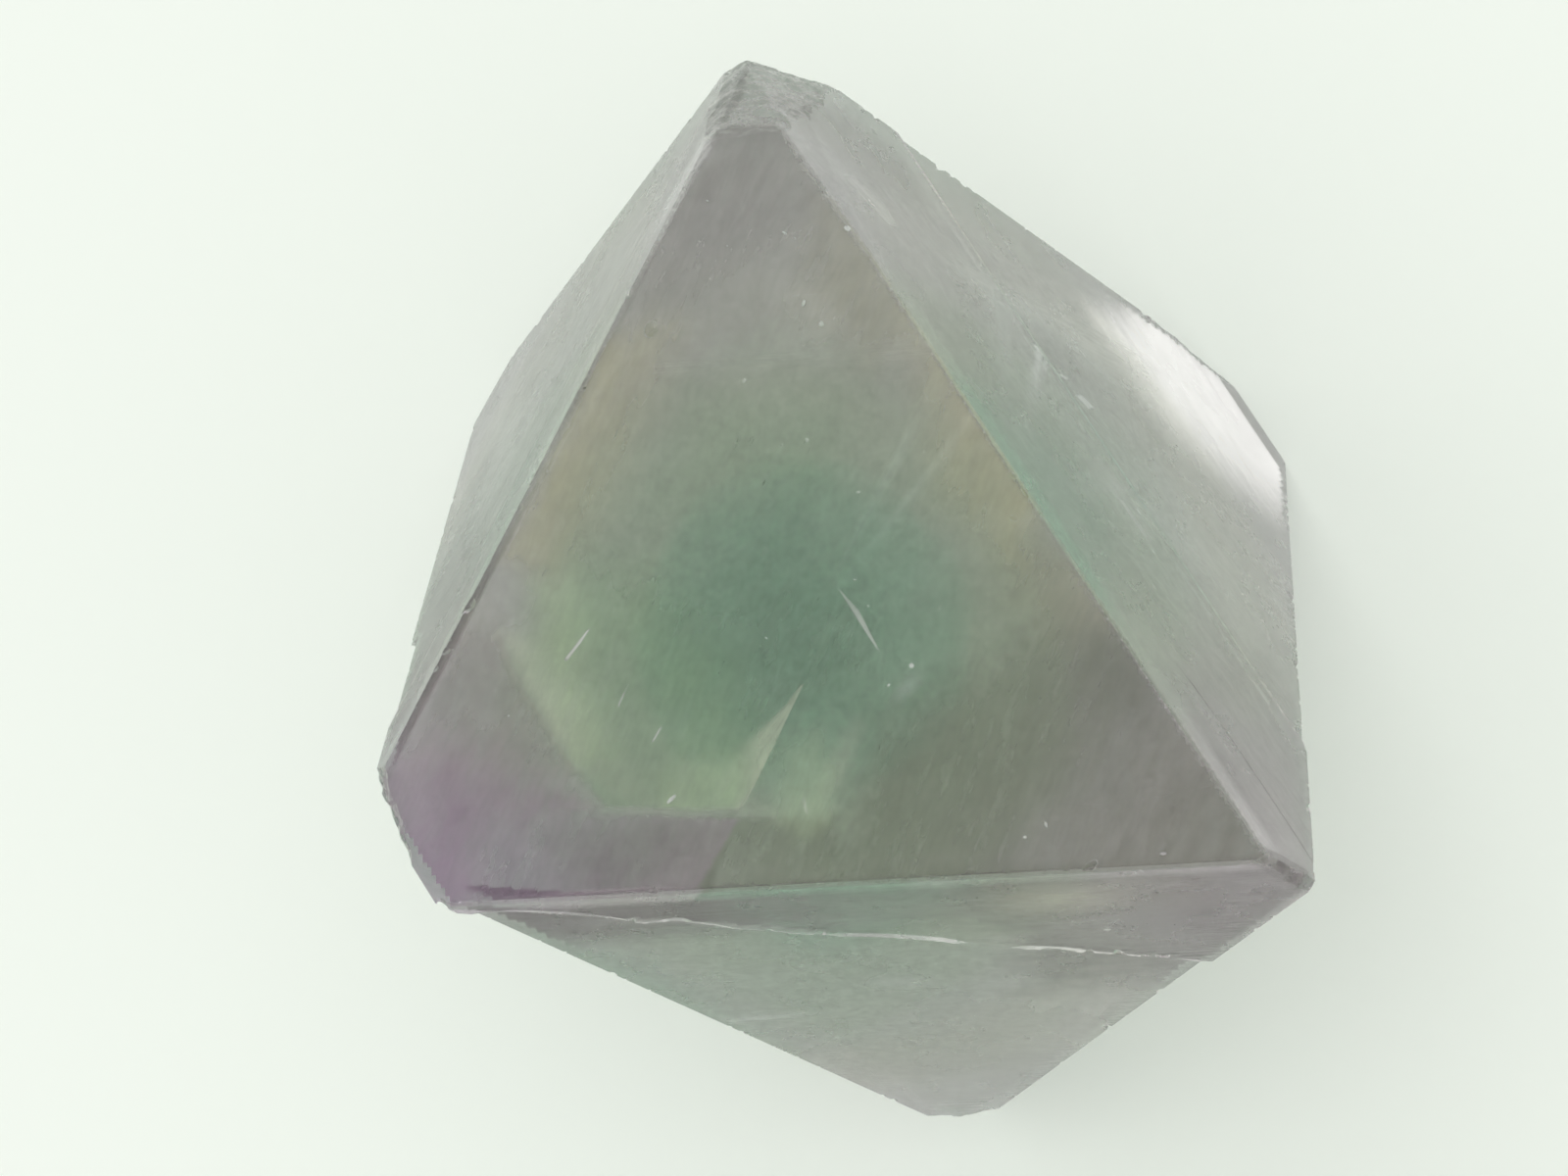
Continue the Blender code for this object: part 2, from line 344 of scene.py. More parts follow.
PATCHES = {
    "front": [
        (MILK, 0.24, [
            (-10.5, -4.0, 0.3), (-10.5, -8.2, 0.3), (12.5, -8.2, 0.3), (12.5, -5.0, 0.3),
            (1.5, 14.0, 0.3), (-1.5, 14.0, 0.3),
        ]),
        (DEEP, 0.28, [
            (-2.6, -1.6, 1.4), (-0.6, -3.0, 1.2), (1.8, -2.6, 1.2), (2.4, -0.6, 1.4), (0.8, 2.2, 1.6),
            (-1.6, 2.2, 1.6),
        ]),
        (DEEP, 0.14, [(0.8, 0.4, 0.6), (2.2, 0.2, 0.6), (2.4, -1.6, 0.6), (0.6, -1.8, 0.6)]),
        (DEEP, 0.14, [(-1.6, -0.2, 0.6), (0.4, 0.3, 0.6), (0.6, -1.4, 0.6), (-1.2, -1.4, 0.6)]),
        # Painted shade: the dark grey-green patches over the lower and right parts of this face.
        (PAINTED_DARK_SHADE, 0.46, [
            (-1.0, -4.77, 0.05), (-2.29, -6.77, 0.05), (-2.7, -8.0, 0.1), (1.6, -8.0, 1.0),
            (1.2, -4.9, 0.3),
        ]),
        (PAINTED_DARK_SHADE, 0.50, [
            (1.4, -8.2, 1.2), (12.0, -8.2, 0.3), (8.8, -0.8, 0.4), (6.8, -0.6, 1.0), (4.6, -1.8, 1.2),
            (2.4, -2.8, 1.0), (1.6, -5.0, 0.8),
        ]),
        (MILK, 0.30, [(5.6, -7.8, 1.0), (11.5, -7.8, 0.5), (9.0, -3.4, 1.0), (6.4, -4.6, 1.2)]),
        (PAINTED_DARK_SHADE, 0.18, [(7.3, -1.0, 0.5), (8.6, -1.2, 0.5), (8.5, -2.9, 0.6), (7.4, -2.4, 0.6)]),
        (PLUM, 0.30, [
            (-7.8, -3.9, 1.4), (-6.2, -4.2, 0.8), (-4.3, -4.5, 0.15), (-2.8, -4.60, 0.12),
            (-1.0, -4.77, 0.05), (-2.29, -6.77, 0.05), (-2.8, -8.2, 0.1), (-8.6, -8.2, 0.3),
            (-9.4, -5.4, 1.2),
        ]),
        (PAINTED_DARK_SHADE, 0.32, [(-5.4, -4.9, 0.8), (-1.1, -4.7, 0.1), (-2.4, -8.0, 0.1), (-5.4, -8.0, 0.8)]),
        (MAUVE, 0.42, [
            (-10.5, -7.0, 0.3), (-10.5, -3.0, 0.5), (-8.0, -2.6, 1.0), (-6.4, -2.8, 1.0),
            (-5.4, -3.6, 0.7), (-4.3, -4.36, 0.2), (-6.6, -4.6, 0.6), (-8.4, -7.0, 0.8),
        ]),
        (DARK_MAUVE, 0.16, [
            (-8.4, 0.2, 0.4), (-6.35, -0.25, 0.35), (-5.1, -2.8, 0.25), (-4.1, -4.3, 0.1),
            (-8.0, -4.4, 0.6),
        ]),
        (TAN, 0.12, [
            (-9.4, -1.0, 0.4), (-6.7, 0.8, 0.6), (-5.9, -1.3, 0.35), (-4.6, -3.6, 0.25),
            (-8.6, -3.2, 0.8),
        ]),
        (GREEN, 0.46, [
            (-6.0, -1.0, 0.6), (-5.0, -2.9, 0.3), (-4.5, -3.7, 0.25), (-4.1, -4.3, 0.1),
            (-3.4, -4.4, 0.05), (-1.1, -4.52, 0.05), (-0.4, -3.2, 0.8), (-1.4, -1.0, 1.4),
            (-2.8, 0.8, 1.4), (-4.6, 1.4, 1.0),
        ]),
        (LIME, 0.40, [
            (-6.35, -0.25, 0.4), (-5.9, -1.3, 0.3), (-5.1, -2.8, 0.22), (-4.7, -3.4, 0.2),
            (-4.0, -3.0, 0.8), (-4.1, -1.8, 0.8), (-5.2, -0.4, 0.7),
        ]),
        (WHITE, 0.20, [
            (-6.3, -0.2, 0.3), (-5.9, -1.3, 0.25), (-5.0, -2.9, 0.2), (-4.6, -2.8, 0.5),
            (-5.2, -1.2, 0.6), (-5.7, 0.0, 0.5),
        ]),
        (LIME, 0.20, [(-5.6, -1.6, 0.4), (-5.15, -2.7, 0.2), (-4.5, -2.7, 0.5), (-4.6, -1.7, 0.5)]),
        (LIME, 0.34, [
            (-5.5, 0.9, 0.5), (-4.6, 1.0, 0.5), (-4.2, -0.4, 0.5), (-4.6, -1.0, 0.4), (-5.2, -0.7, 0.5),
        ]),
        (LIME, 0.30, [
            (-2.8, -4.42, 0.05), (-0.95, -4.56, 0.05), (-0.5, -3.7, 0.4), (-1.4, -3.4, 0.5),
            (-2.6, -3.7, 0.5),
        ]),
        (LIME, 0.30, [
            (0.2, -3.3, 0.7), (0.9, -2.9, 0.5), (1.3, -3.8, 0.35), (1.1, -5.0, 0.3), (0.5, -5.3, 0.2),
            (-0.1, -4.8, 0.35),
        ]),
        (AMBER, 0.34, [
            (-6.2, 1.6, 0.4), (-5.0, 1.2, 0.8), (-3.6, 3.4, 1.2), (-2.2, 6.6, 1.2), (-3.6, 6.6, 0.4),
        ]),
        (AMBER, 0.34, [
            (3.6, 6.6, 0.8), (4.6, 6.0, 0.4), (6.6, 2.2, 0.4), (5.6, 1.0, 0.8), (4.2, 2.4, 1.0),
        ]),
        (TAN, 0.30, [
            (5.4, 1.2, 0.8), (7.4, 0.8, 0.4), (8.6, -0.8, 0.4), (6.4, -1.0, 0.8), (5.6, -0.2, 0.8),
        ]),
        (GREY, 0.34, [
            (-3.2, 6.6, 2.0), (-1.6, 12.9, 0.4), (0.8, 12.9, 0.4), (1.6, 8.8, 1.4), (0.0, 7.4, 2.0),
        ]),
        (TAN, 0.34, [
            (1.6, 9.4, 0.8), (3.0, 8.8, 0.4), (3.9, 6.8, 0.4), (2.6, 5.6, 0.8), (1.2, 7.2, 1.0),
        ]),
        (DARK_MAUVE, 0.24, [
            (-3.0, 7.8, 1.6), (-1.6, 13.2, 0.3), (1.5, 13.2, 0.3), (2.6, 9.8, 1.0), (0.2, 8.8, 1.6),
        ]),
        (GREEN, 0.20, [(-3.0, 2.6, 1.2), (-1.6, 5.2, 1.2), (1.6, 4.6, 1.2), (1.4, 2.8, 1.2)]),
        (WHITE, 0.10, [(5.4, -6.1, 0.4), (7.2, -6.2, 0.4), (7.4, -5.0, 0.5), (5.8, -4.8, 0.5)]),
        (WHITE, 0.10, [(0.4, 7.6, 0.4), (1.4, 7.6, 0.5), (2.1, 6.2, 0.5), (0.9, 6.0, 0.5)]),
    ],
    "right": [
        # On this face the grey, darker grey and dark mauve patches are painted shade.
        (GREY, 0.12, [
            (-12.0, -8.0, 0.5), (12.0, -8.0, 0.5), (6.0, 8.0, 0.5), (0.0, 17.0, 0.5), (-5.0, 12.0, 0.5),
        ]),
        (GREY, 0.18, [
            (-5.0, -6.0, 0.6), (-3.6, -2.6, 0.8), (0.4, -2.0, 0.8), (4.6, -2.0, 0.8), (4.0, -6.5, 0.6),
        ]),
        (PAINTED_SHADE, 0.24, [
            (6.0, -4.0, 1.2), (5.2, 0.6, 1.4), (7.0, 2.6, 1.4), (9.0, 3.4, 1.2), (12.5, -3.0, 0.5),
            (12.5, -9.0, 0.5), (8.5, -8.5, 0.5),
        ]),
        (DARK_MAUVE, 0.24, [(8.8, -4.4, 1.2), (10.4, -4.0, 0.8), (12.5, -8.0, 0.5), (9.0, -9.0, 0.5)]),
        (PAINTED_SHADE, 0.40, [(8.4, -4.8, 0.8), (10.0, -5.4, 0.6), (11.0, -9.0, 0.3), (8.5, -8.5, 0.3)]),
        (GREY, 0.30, [
            (-10.5, -5.0, 0.5), (-8.2, -3.6, 0.8), (-7.0, -0.2, 0.8), (-8.4, 0.4, 0.5),
            (-10.0, -1.0, 0.5),
        ]),
        (DARK_MAUVE, 0.06, [
            (-7.0, -2.0, 0.8), (-5.6, 1.4, 0.6), (-3.4, 7.0, 0.5), (-2.2, 6.0, 0.6), (-4.2, 1.2, 1.0),
            (-5.6, -2.4, 0.8),
        ]),
        (GREY, 0.14, [(-3.8, 0.8, 0.5), (-3.4, 3.6, 0.5), (-1.8, 3.8, 0.5), (-1.8, 1.0, 0.5)]),
        # Painted light, from here to the end of this face's list: white patches and a glowing glare for the
        # pale band and reflection towards the far corner.
        (WHITE, 0.36, [
            (-3.9, 3.4, 1.4), (-3.6, 8.0, 0.8), (-3.4, 16.0, 0.3), (3.0, 16.0, 0.6), (2.2, 10.4, 1.2),
            (-0.2, 7.0, 1.6), (-2.2, 4.4, 1.4),
        ]),
        (GLARE, 0.90, [
            (-3.4, 7.2, 1.4), (-4.4, 16.0, 0.3), (3.8, 16.0, 0.6), (2.0, 10.8, 2.2), (-0.6, 7.8, 2.2),
        ]),
        (WHITE, 0.22, [
            (0.4, 2.6, 1.2), (0.4, 8.0, 1.2), (4.0, 9.5, 0.8), (6.8, 6.0, 0.6), (5.0, 2.4, 1.4),
        ]),
        (WHITE, 0.12, [(-1.2, -0.4, 0.8), (-0.6, 1.4, 0.8), (3.4, 2.2, 0.8), (2.6, -0.4, 0.8)]),
    ],
    "left": [
        # The dark grey patches on this face are painted shade.
        (PAINTED_SHADE, 0.20, [(-11.5, 9.0, 0.5), (-11.5, -6.0, 0.5), (12.0, -6.0, 0.5), (12.0, 11.0, 0.5)]),
        (PAINTED_SHADE, 0.62, [(1.8, 11.0, 1.8), (0.8, -3.0, 1.8), (12.0, -3.0, 0.5), (12.0, 11.0, 0.5)]),
        (PAINTED_SHADE, 0.20, [(3.4, 11.0, 1.4), (2.6, -3.0, 1.4), (12.0, -3.0, 0.5), (12.0, 11.0, 0.5)]),
        (PAINTED_SHADE, 0.32, [(-11.5, 7.5, 0.5), (-8.6, 6.8, 0.5), (-8.2, 3.6, 0.5), (-11.5, 3.4, 0.5)]),
        (PAINTED_SHADE, 0.24, [(-2.8, 4.8, 1.0), (-2.0, 1.2, 1.0), (0.6, 1.0, 1.0), (0.4, 6.0, 1.0)]),
        (WHITE, 0.10, [(-8.6, 5.2, 0.6), (-7.0, 5.6, 0.6), (-5.8, 2.4, 0.8), (-7.4, 2.2, 0.4)]),
        (WHITE, 0.14, [(-3.6, -2.4, 0.6), (-1.0, 0.2, 0.8), (1.6, -0.6, 0.6), (-1.0, -5.0, 0.5)]),
    ],
    "lower": [
        # The dark grey patches on this face are painted shade, and the dark mauve ones are both painted shade
        # and the crystal's purple tint.
        (PAINTED_SHADE, 0.76, [(-10.5, 8.5, 0.5), (-1.6, 8.5, 1.2), (-1.6, 3.0, 1.2), (-10.5, 2.0, 1.2)]),
        (DARK_MAUVE, 0.34, [(-10.5, 8.5, 0.5), (1.4, 8.5, 1.2), (0.6, 3.2, 1.2), (-10.5, 2.0, 1.2)]),
        (PAINTED_SHADE, 0.50, [(-2.4, 8.5, 1.2), (6.4, 8.5, 1.2), (4.6, 3.2, 1.0), (-2.4, 2.8, 1.2)]),
        (PAINTED_SHADE, 0.46, [(4.0, 8.5, 0.8), (13.5, 8.5, 0.5), (12.5, -2.2, 0.8), (5.0, -2.2, 1.2)]),
        (PAINTED_SHADE, 0.12, [(-10.5, 3.6, 1.2), (13.5, 3.6, 1.2), (6.0, -8.0, 1.0), (-2.0, -8.0, 1.0)]),
        (TAN, 0.14, [(4.6, 7.5, 0.5), (9.6, 7.5, 0.5), (9.6, 3.4, 0.8), (4.6, 3.2, 0.8)]),
        (DARK_MAUVE, 0.16, [(8.8, 7.5, 0.5), (12.6, 7.5, 0.5), (12.6, 1.0, 0.8), (8.8, 1.2, 0.8)]),
    ],
}
# How strongly a face is clouded with milky drifts, and which way the fibres of its glow run, in radians.
CLOUDS = {"front": 0.04, "right": 0.14, "left": 0.16, "lower": 0.10}
GRAIN = {"front": math.radians(65)}
OUTLINE_WANDER = 0.05  # how far a patch's outline strays, in millimetres
# How the nets lie in millimetres: depth under the face, spacing, and how far they stay under the front.
NETS = {
    "front": (0.40, 0.10, 0.0),
    "right": (0.46, 0.18, 1.25),
    "left": (0.46, 0.18, 1.25),
    "lower": (0.46, 0.18, 0.85),
}
NET_MARGIN = 0.06  # how near they come to any surface, in millimetres
NET_FADE, FRONT_FADE = 0.14, 0.40  # over how much they fade in from other faces and from the front
NET_REACH = 16.0  # half the side of the square that each net is cut from, in millimetres
# Bright flecks in their own places: face, then place on it, depth under it and size in millimetres.
GLINTS = [
    ("front", -2.53, -4.24, 0.4, 0.16),
    ("front", 0.72, 8.79, 0.3, 0.08),
    ("front", 0.95, 8.66, 0.3, 0.05),
    ("front", 1.09, 7.11, 0.3, 0.13),
    ("front", 1.48, 6.59, 0.3, 0.12),
    ("front", -0.39, 5.39, 0.4, 0.10),
    ("front", -1.05, 9.68, 0.3, 0.05),
    ("front", 3.17, -1.48, 0.4, 0.12),
    ("front", 2.62, -1.90, 0.4, 0.10),
    ("front", 6.05, -5.29, 0.4, 0.12),
    ("front", 5.55, -5.55, 0.4, 0.10),
    ("front", 8.68, -6.10, 0.3, 0.13),
    ("front", 8.14, -6.55, 0.3, 0.08),
    ("front", 1.00, 3.91, 0.5, 0.07),
    ("front", 2.20, 8.80, 0.1, 0.09),
    ("lower", 8.16, 5.98, 0.1, 0.09),
    ("lower", 7.17, 2.40, 0.2, 0.12),
    ("right", 2.00, 0.20, 0.1, 0.10),
    ("right", 3.10, -0.60, 0.1, 0.08),
    ("right", -5.30, 0.60, 0.1, 0.09),
]
SPECKS = [
    ("front", -4.11, 5.43, 0.1, 0.06),
    ("lower", 8.44, 4.62, 0.1, 0.07),
    ("lower", 8.70, 3.38, 0.1, 0.05),
    ("lower", 4.32, 4.88, 0.1, 0.05),
]
# How rough the satin is on each face; the hidden ones are rougher.
SATIN = {"front": 0.14, "right": 0.26, "left": 0.26, "lower": 0.26}
HIDDEN_SATIN = 0.6
FRONT_STREAKS, OTHER_STREAKS = 0.12, 0.35  # how strong the streaks along the steps are
# Sizes of the scattered flecks and specks, smallest and largest, in millimetres.
FLECK_SIZES, SPECK_SIZES = (0.015, 0.07), (0.015, 0.05)


def place(tip, left, right):
    """The point this many inradii from the middle towards each upper corner."""
    return MIDDLE + INRADIUS * (tip * TIP + left * LEFT + right * RIGHT)


def on_face(face, along, across, depth=0.0):
    """The point this many millimetres from the foot of the middle on a face, and this deep under it."""
    normal, ahead = FACES[face]
    level = FACE_DISTANCE[face] - normal.dot(MIDDLE) - depth * MM
    return MIDDLE + normal * level + ahead * along * MM + normal.cross(ahead) * across * MM


def room(spot):
    """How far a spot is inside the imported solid's surface, in metres, and less than nothing outside it."""
    level = float((PLANES[:, 3] - PLANES[:, :3] @ np.array(spot)).min())
    nearest, normal, _, distance = SOLID.find_nearest(spot)
    return min(level, math.copysign(distance, (nearest - spot).dot(normal)))


def held_inside(spot, margin=0.06 * MM):
    """The spot, moved towards the middle until it is this far inside."""
    while room(spot) < margin:
        spot = spot.lerp(MIDDLE, 0.004)
    return spot


# ---------------------------------------------------------------- node helpers


def put(tree, kind, inputs=(), **settings):
    """Adds a node, sets its properties, and gives each named input a value or a link."""
    made = tree.nodes.new(kind)
    for key, value in settings.items():
        setattr(made, key, value)
    for name, value in dict(inputs).items():
        if isinstance(value, bpy.types.NodeSocket):
            tree.links.new(value, made.inputs[name])
        else:
            made.inputs[name].default_value = value
    return made


def maths(tree, operation, first, second=0.0, third=0.0):
    kind = "ShaderNodeMath"
    return put(tree, kind, {0: first, 1: second, 2: third}, operation=operation).outputs[0]


def vector_maths(tree, operation, first, second=(0.0, 0.0, 0.0)):
    made = put(tree, "ShaderNodeVectorMath", {0: first, 1: second}, operation=operation)
    return made.outputs["Value" if operation in ("DOT_PRODUCT", "LENGTH", "DISTANCE") else "Vector"]


def scaled(tree, vector, factor):
    made = put(tree, "ShaderNodeVectorMath", {0: vector, "Scale": factor}, operation="SCALE")
    return made.outputs["Vector"]


def noise_value(tree, vector, scale, detail, roughness=0.5):
    """Soft noise over a vector, about 0 to 1."""
    return put(tree, "ShaderNodeTexNoise", {
        "Vector": vector, "Scale": scale, "Detail": detail, "Roughness": roughness,
    }).outputs[0]


def ranged(tree, value, low, high, to_low=0.0, to_high=1.0, shape="LINEAR"):
    """A value whose range from low to high becomes the other one, held at its ends."""
    return put(tree, "ShaderNodeMapRange", {
        "Value": value, "From Min": low, "From Max": high, "To Min": to_low, "To Max": to_high,
    }, interpolation_type=shape).outputs[0]


def declare(tree, direction, sockets):
    """Gives a node group its sockets, as (name, type, default) rows."""
    for name, kind, default in sockets:
        socket = tree.interface.new_socket(name=name, in_out=direction, socket_type="NodeSocket" + kind)
        if default is not None:
            socket.default_value = default


def random_value(tree, low, high, seed, offset):
    """A random number for each point, from low to high."""
    return put(
        tree,
        "FunctionNodeRandomValue",
        {2: low, 3: high, "Seed": maths(tree, "ADD", seed, float(offset))},
        data_type="FLOAT",
    ).outputs[1]


def apply_nodes(piece, tree, values):
    """Runs a geometry tree on a piece with these inputs, and keeps the result as its plain mesh."""
    modifier = piece.modifiers.new(tree.name, "NODES")
    modifier.node_group = tree
    for item in tree.interface.items_tree:
        if item.item_type == "SOCKET" and item.in_out == "INPUT" and item.name in values:
            modifier[item.identifier] = values[item.name]
    bpy.context.view_layer.update()
    evaluated = piece.evaluated_get(bpy.context.evaluated_depsgraph_get())
    result = bpy.data.meshes.new_from_object(evaluated)
    piece.modifiers.remove(modifier)
    old = piece.data
    piece.data = result
    bpy.data.meshes.remove(old)
    return piece


def carve(tree, mesh, cutters):
    """Takes each separate island of the cutters out of the mesh."""
    island = put(tree, "GeometryNodeInputMeshIsland").outputs[0]
    apart = put(
        tree, "GeometryNodeSplitToInstances", {"Geometry": cutters, "Group ID": island}, domain="FACE"
    )
    cut = put(
        tree,
        "GeometryNodeMeshBoolean",
        {"Mesh 1": mesh, "Mesh 2": apart.outputs[0]},
        operation="DIFFERENCE",
        solver="MANIFOLD",
    )
    return cut.outputs[0]


def end_tree(tree, geometry, material):
    """Ends a tree: everything is real mesh, in one material."""
    real = put(tree, "GeometryNodeRealizeInstances", {"Geometry": geometry})
    painted = put(tree, "GeometryNodeSetMaterial", {"Geometry": real.outputs[0], "Material": material})
    put(tree, "NodeGroupOutput", {"Geometry": painted.outputs[0]})
    return tree


# ---------------------------------------------------------------- geometry trees


def scar_oval(tree):
    """A long oval cutter, shallow on one side and deeper on the other."""
    oval = put(tree, "GeometryNodeMeshCylinder", {"Vertices": 44, "Radius": 1.0, "Depth": 2.0})
    rim = put(tree, "ShaderNodeSeparateXYZ", {0: put(tree, "GeometryNodeInputPosition").outputs[0]}).outputs
    breadth = maths(tree, "POWER", maths(tree, "ABSOLUTE", rim["Y"]), 1.5)
    breadth = maths(tree, "MULTIPLY", breadth, maths(tree, "SIGN", rim["Y"]))
    slant = maths(tree, "MULTIPLY", maths(tree, "ADD", breadth, 1.02), -0.5)
    upper = maths(tree, "GREATER_THAN", rim["Z"], 0.0)
    mix = {"Factor": upper, "A": slant, "B": 1.0}
    level = put(tree, "ShaderNodeMix", mix, data_type="FLOAT").outputs[0]
    return put(tree, "GeometryNodeSetPosition", {
        "Geometry": oval.outputs["Mesh"],
        "Position": put(tree, "ShaderNodeCombineXYZ", {"X": rim["X"], "Y": breadth, "Z": level}).outputs[0],
    })


def rippled(tree, geometry, normal, waviness):
    """The geometry with its points shifted a little, along the face only."""
    ripple = put(tree, "ShaderNodeTexNoise", {
        "Vector": put(tree, "GeometryNodeInputPosition").outputs[0],
        "Scale": 1400.0,
        "Detail": 3.0,
        "Roughness": 0.6,
    })
    centred = vector_maths(tree, "SUBTRACT", ripple.outputs["Color"], (0.5, 0.5, 0.5))
    shift = scaled(tree, centred, maths(tree, "MULTIPLY", waviness, 4.0))
    rise = vector_maths(tree, "DOT_PRODUCT", shift, normal)
    level = vector_maths(tree, "SUBTRACT", shift, scaled(tree, normal, rise))
    return put(tree, "GeometryNodeSetPosition", {"Geometry": geometry, "Offset": level})


def flake_tree():
    """Cuts thin flake scars into one flat face: long ovals with wavy rims, split along its plane."""
    tree = bpy.data.node_groups.new("Cleavage flakes", "GeometryNodeTree")
    declare(tree, "INPUT", [
        ("Geometry", "Geometry", None),
        ("Material", "Material", None),
        ("Count", "Int", 10),
        ("Seed", "Int", 1),
        ("Centre", "Vector", (0, 0, 0)),
        ("Normal", "Vector", (0, 0, 1)),
        ("Along", "Vector", (1, 0, 0)),
        ("Across", "Vector", (0, 1, 0)),
        ("Reach Along", "Float", 0.01),
        ("Reach Across", "Float", 0.005),
        ("Length", "Float", 0.004),
        ("Width", "Float", 0.0005),
        ("Depth", "Float", 0.00005),
        ("Waviness", "Float", 0.0001),
    ])
    declare(tree, "OUTPUT", [("Geometry", "Geometry", None)])
    given = put(tree, "NodeGroupInput").outputs
    seed = given["Seed"]
    go_along = maths(tree, "MULTIPLY", given["Reach Along"], random_value(tree, -1.0, 1.0, seed, 0))
    go_across = maths(tree, "MULTIPLY", given["Reach Across"], random_value(tree, -1.0, 1.0, seed, 1))
    along = scaled(tree, given["Along"], go_along)
    across = scaled(tree, given["Across"], go_across)
    spot = vector_maths(tree, "ADD", given["Centre"], vector_maths(tree, "ADD", along, across))
    points = put(tree, "GeometryNodePoints", {"Count": given["Count"], "Position": spot})
    # Half of the scars are turned round, so that their deep side is the other one.
    turned = maths(tree, "SIGN", random_value(tree, -1.0, 1.0, seed, 5))
    facing = put(
        tree,
        "FunctionNodeAxesToRotation",
        {"Primary Axis": given["Normal"], "Secondary Axis": scaled(tree, given["Along"], turned)},
        primary_axis="Z",
        secondary_axis="X",
    )
    size = put(tree, "ShaderNodeCombineXYZ", {
        "X": maths(tree, "MULTIPLY", given["Length"], random_value(tree, 0.12, 0.5, seed, 2)),
        "Y": maths(tree, "MULTIPLY", given["Width"], random_value(tree, 0.12, 0.5, seed, 3)),
        "Z": maths(tree, "MULTIPLY", given["Depth"], random_value(tree, 0.25, 1.0, seed, 4)),
    })
    laid = put(tree, "GeometryNodeInstanceOnPoints", {
        "Points": points.outputs[0],
        "Instance": scar_oval(tree).outputs[0],
        "Rotation": facing.outputs[0],
        "Scale": size.outputs[0],
    })
    real = put(tree, "GeometryNodeRealizeInstances", {"Geometry": laid.outputs[0]})
    wavy = rippled(tree, real.outputs[0], given["Normal"], given["Waviness"])
    return end_tree(tree, carve(tree, given["Geometry"], wavy.outputs[0]), given["Material"])


def plane_height(tree, point, axis, normal, distance):
    """How far a point has to move along the axis to reach a plane."""
    gap = maths(tree, "SUBTRACT", distance, vector_maths(tree, "DOT_PRODUCT", normal, point))
    return maths(tree, "DIVIDE", gap, vector_maths(tree, "DOT_PRODUCT", normal, axis))


def hackly_depth(tree, point):
    """How deep a rough surface lies at a point, in shares of its roughness: lumps, chips and ledges."""
    lumps = noise_value(tree, point, 1500.0, 4.0, 0.65)
    chips = put(tree, "ShaderNodeTexVoronoi", {"Vector": point, "Scale": 2600.0, "Randomness": 1.0})
    ledges = put(tree, "ShaderNodeTexVoronoi", {"Vector": point, "Scale": 1300.0, "Randomness": 1.0})
    ledge = put(tree, "FunctionNodeSeparateColor", {0: ledges.outputs["Color"]}).outputs[0]
    depth = maths(tree, "ADD", lumps, maths(tree, "MULTIPLY", chips.outputs["Distance"], 0.7))
    return maths(tree, "ADD", depth, maths(tree, "MULTIPLY", ledge, 0.8))


def break_tree():
    """Breaks a corner off along up to four planes, and leaves a rough surface that only goes deeper."""
    tree = bpy.data.node_groups.new("Rough break", "GeometryNodeTree")
    plane_rows = []
    for number in range(1, 5):
        plane_rows += [(f"Normal {number}", "Vector", (0, 0, 1)), (f"Distance {number}", "Float", 1.0)]
    declare(tree, "INPUT", [
        ("Geometry", "Geometry", None),
        ("Material", "Material", None),
        ("Centre", "Vector", (0, 0, 0)),
        ("Axis", "Vector", (0, 0, 1)),
        ("Side", "Vector", (1, 0, 0)),
        ("Other Side", "Vector", (0, 1, 0)),
        ("Size", "Float", 0.004),
        ("Rows", "Int", 50),
        ("Roughness", "Float", 0.0001),
        *plane_rows,
    ])
    declare(tree, "OUTPUT", [("Geometry", "Geometry", None)])
    given = put(tree, "NodeGroupInput").outputs
    axis = given["Axis"]
    sheet = put(tree, "GeometryNodeMeshGrid", {
        "Size X": given["Size"],
        "Size Y": given["Size"],
        "Vertices X": given["Rows"],
        "Vertices Y": given["Rows"],
    })
    flat = put(tree, "ShaderNodeSeparateXYZ", {0: put(tree, "GeometryNodeInputPosition").outputs[0]})
    point = vector_maths(tree, "ADD", given["Centre"], scaled(tree, given["Side"], flat.outputs["X"]))
    point = vector_maths(tree, "ADD", point, scaled(tree, given["Other Side"], flat.outputs["Y"]))
    height = plane_height(tree, point, axis, given["Normal 1"], given["Distance 1"])
    for number in range(2, 5):
        other = plane_height(tree, point, axis, given[f"Normal {number}"], given[f"Distance {number}"])
        height = maths(tree, "MINIMUM", height, other)
    depth = maths(tree, "MULTIPLY", hackly_depth(tree, point), given["Roughness"])
    level = maths(tree, "SUBTRACT", height, depth)
    rough = put(tree, "GeometryNodeSetPosition", {
        "Geometry": sheet.outputs["Mesh"],
        "Position": vector_maths(tree, "ADD", point, scaled(tree, axis, level)),
    })
    raised = put(tree, "GeometryNodeExtrudeMesh", {
        "Mesh": rough.outputs[0],
        "Offset": axis,
        "Offset Scale": CUTTER_HEIGHT * MM,
        "Individual": False,
    }, mode="FACES")
    under = put(tree, "GeometryNodeFlipFaces", {"Mesh": rough.outputs[0]})
    both = put(tree, "GeometryNodeJoinGeometry")
    tree.links.new(raised.outputs["Mesh"], both.inputs[0])
    tree.links.new(under.outputs[0], both.inputs[0])
    closed = put(tree, "GeometryNodeMergeByDistance", {"Geometry": both.outputs[0], "Distance": 1e-7})
    return end_tree(tree, carve(tree, given["Geometry"], closed.outputs[0]), given["Material"])


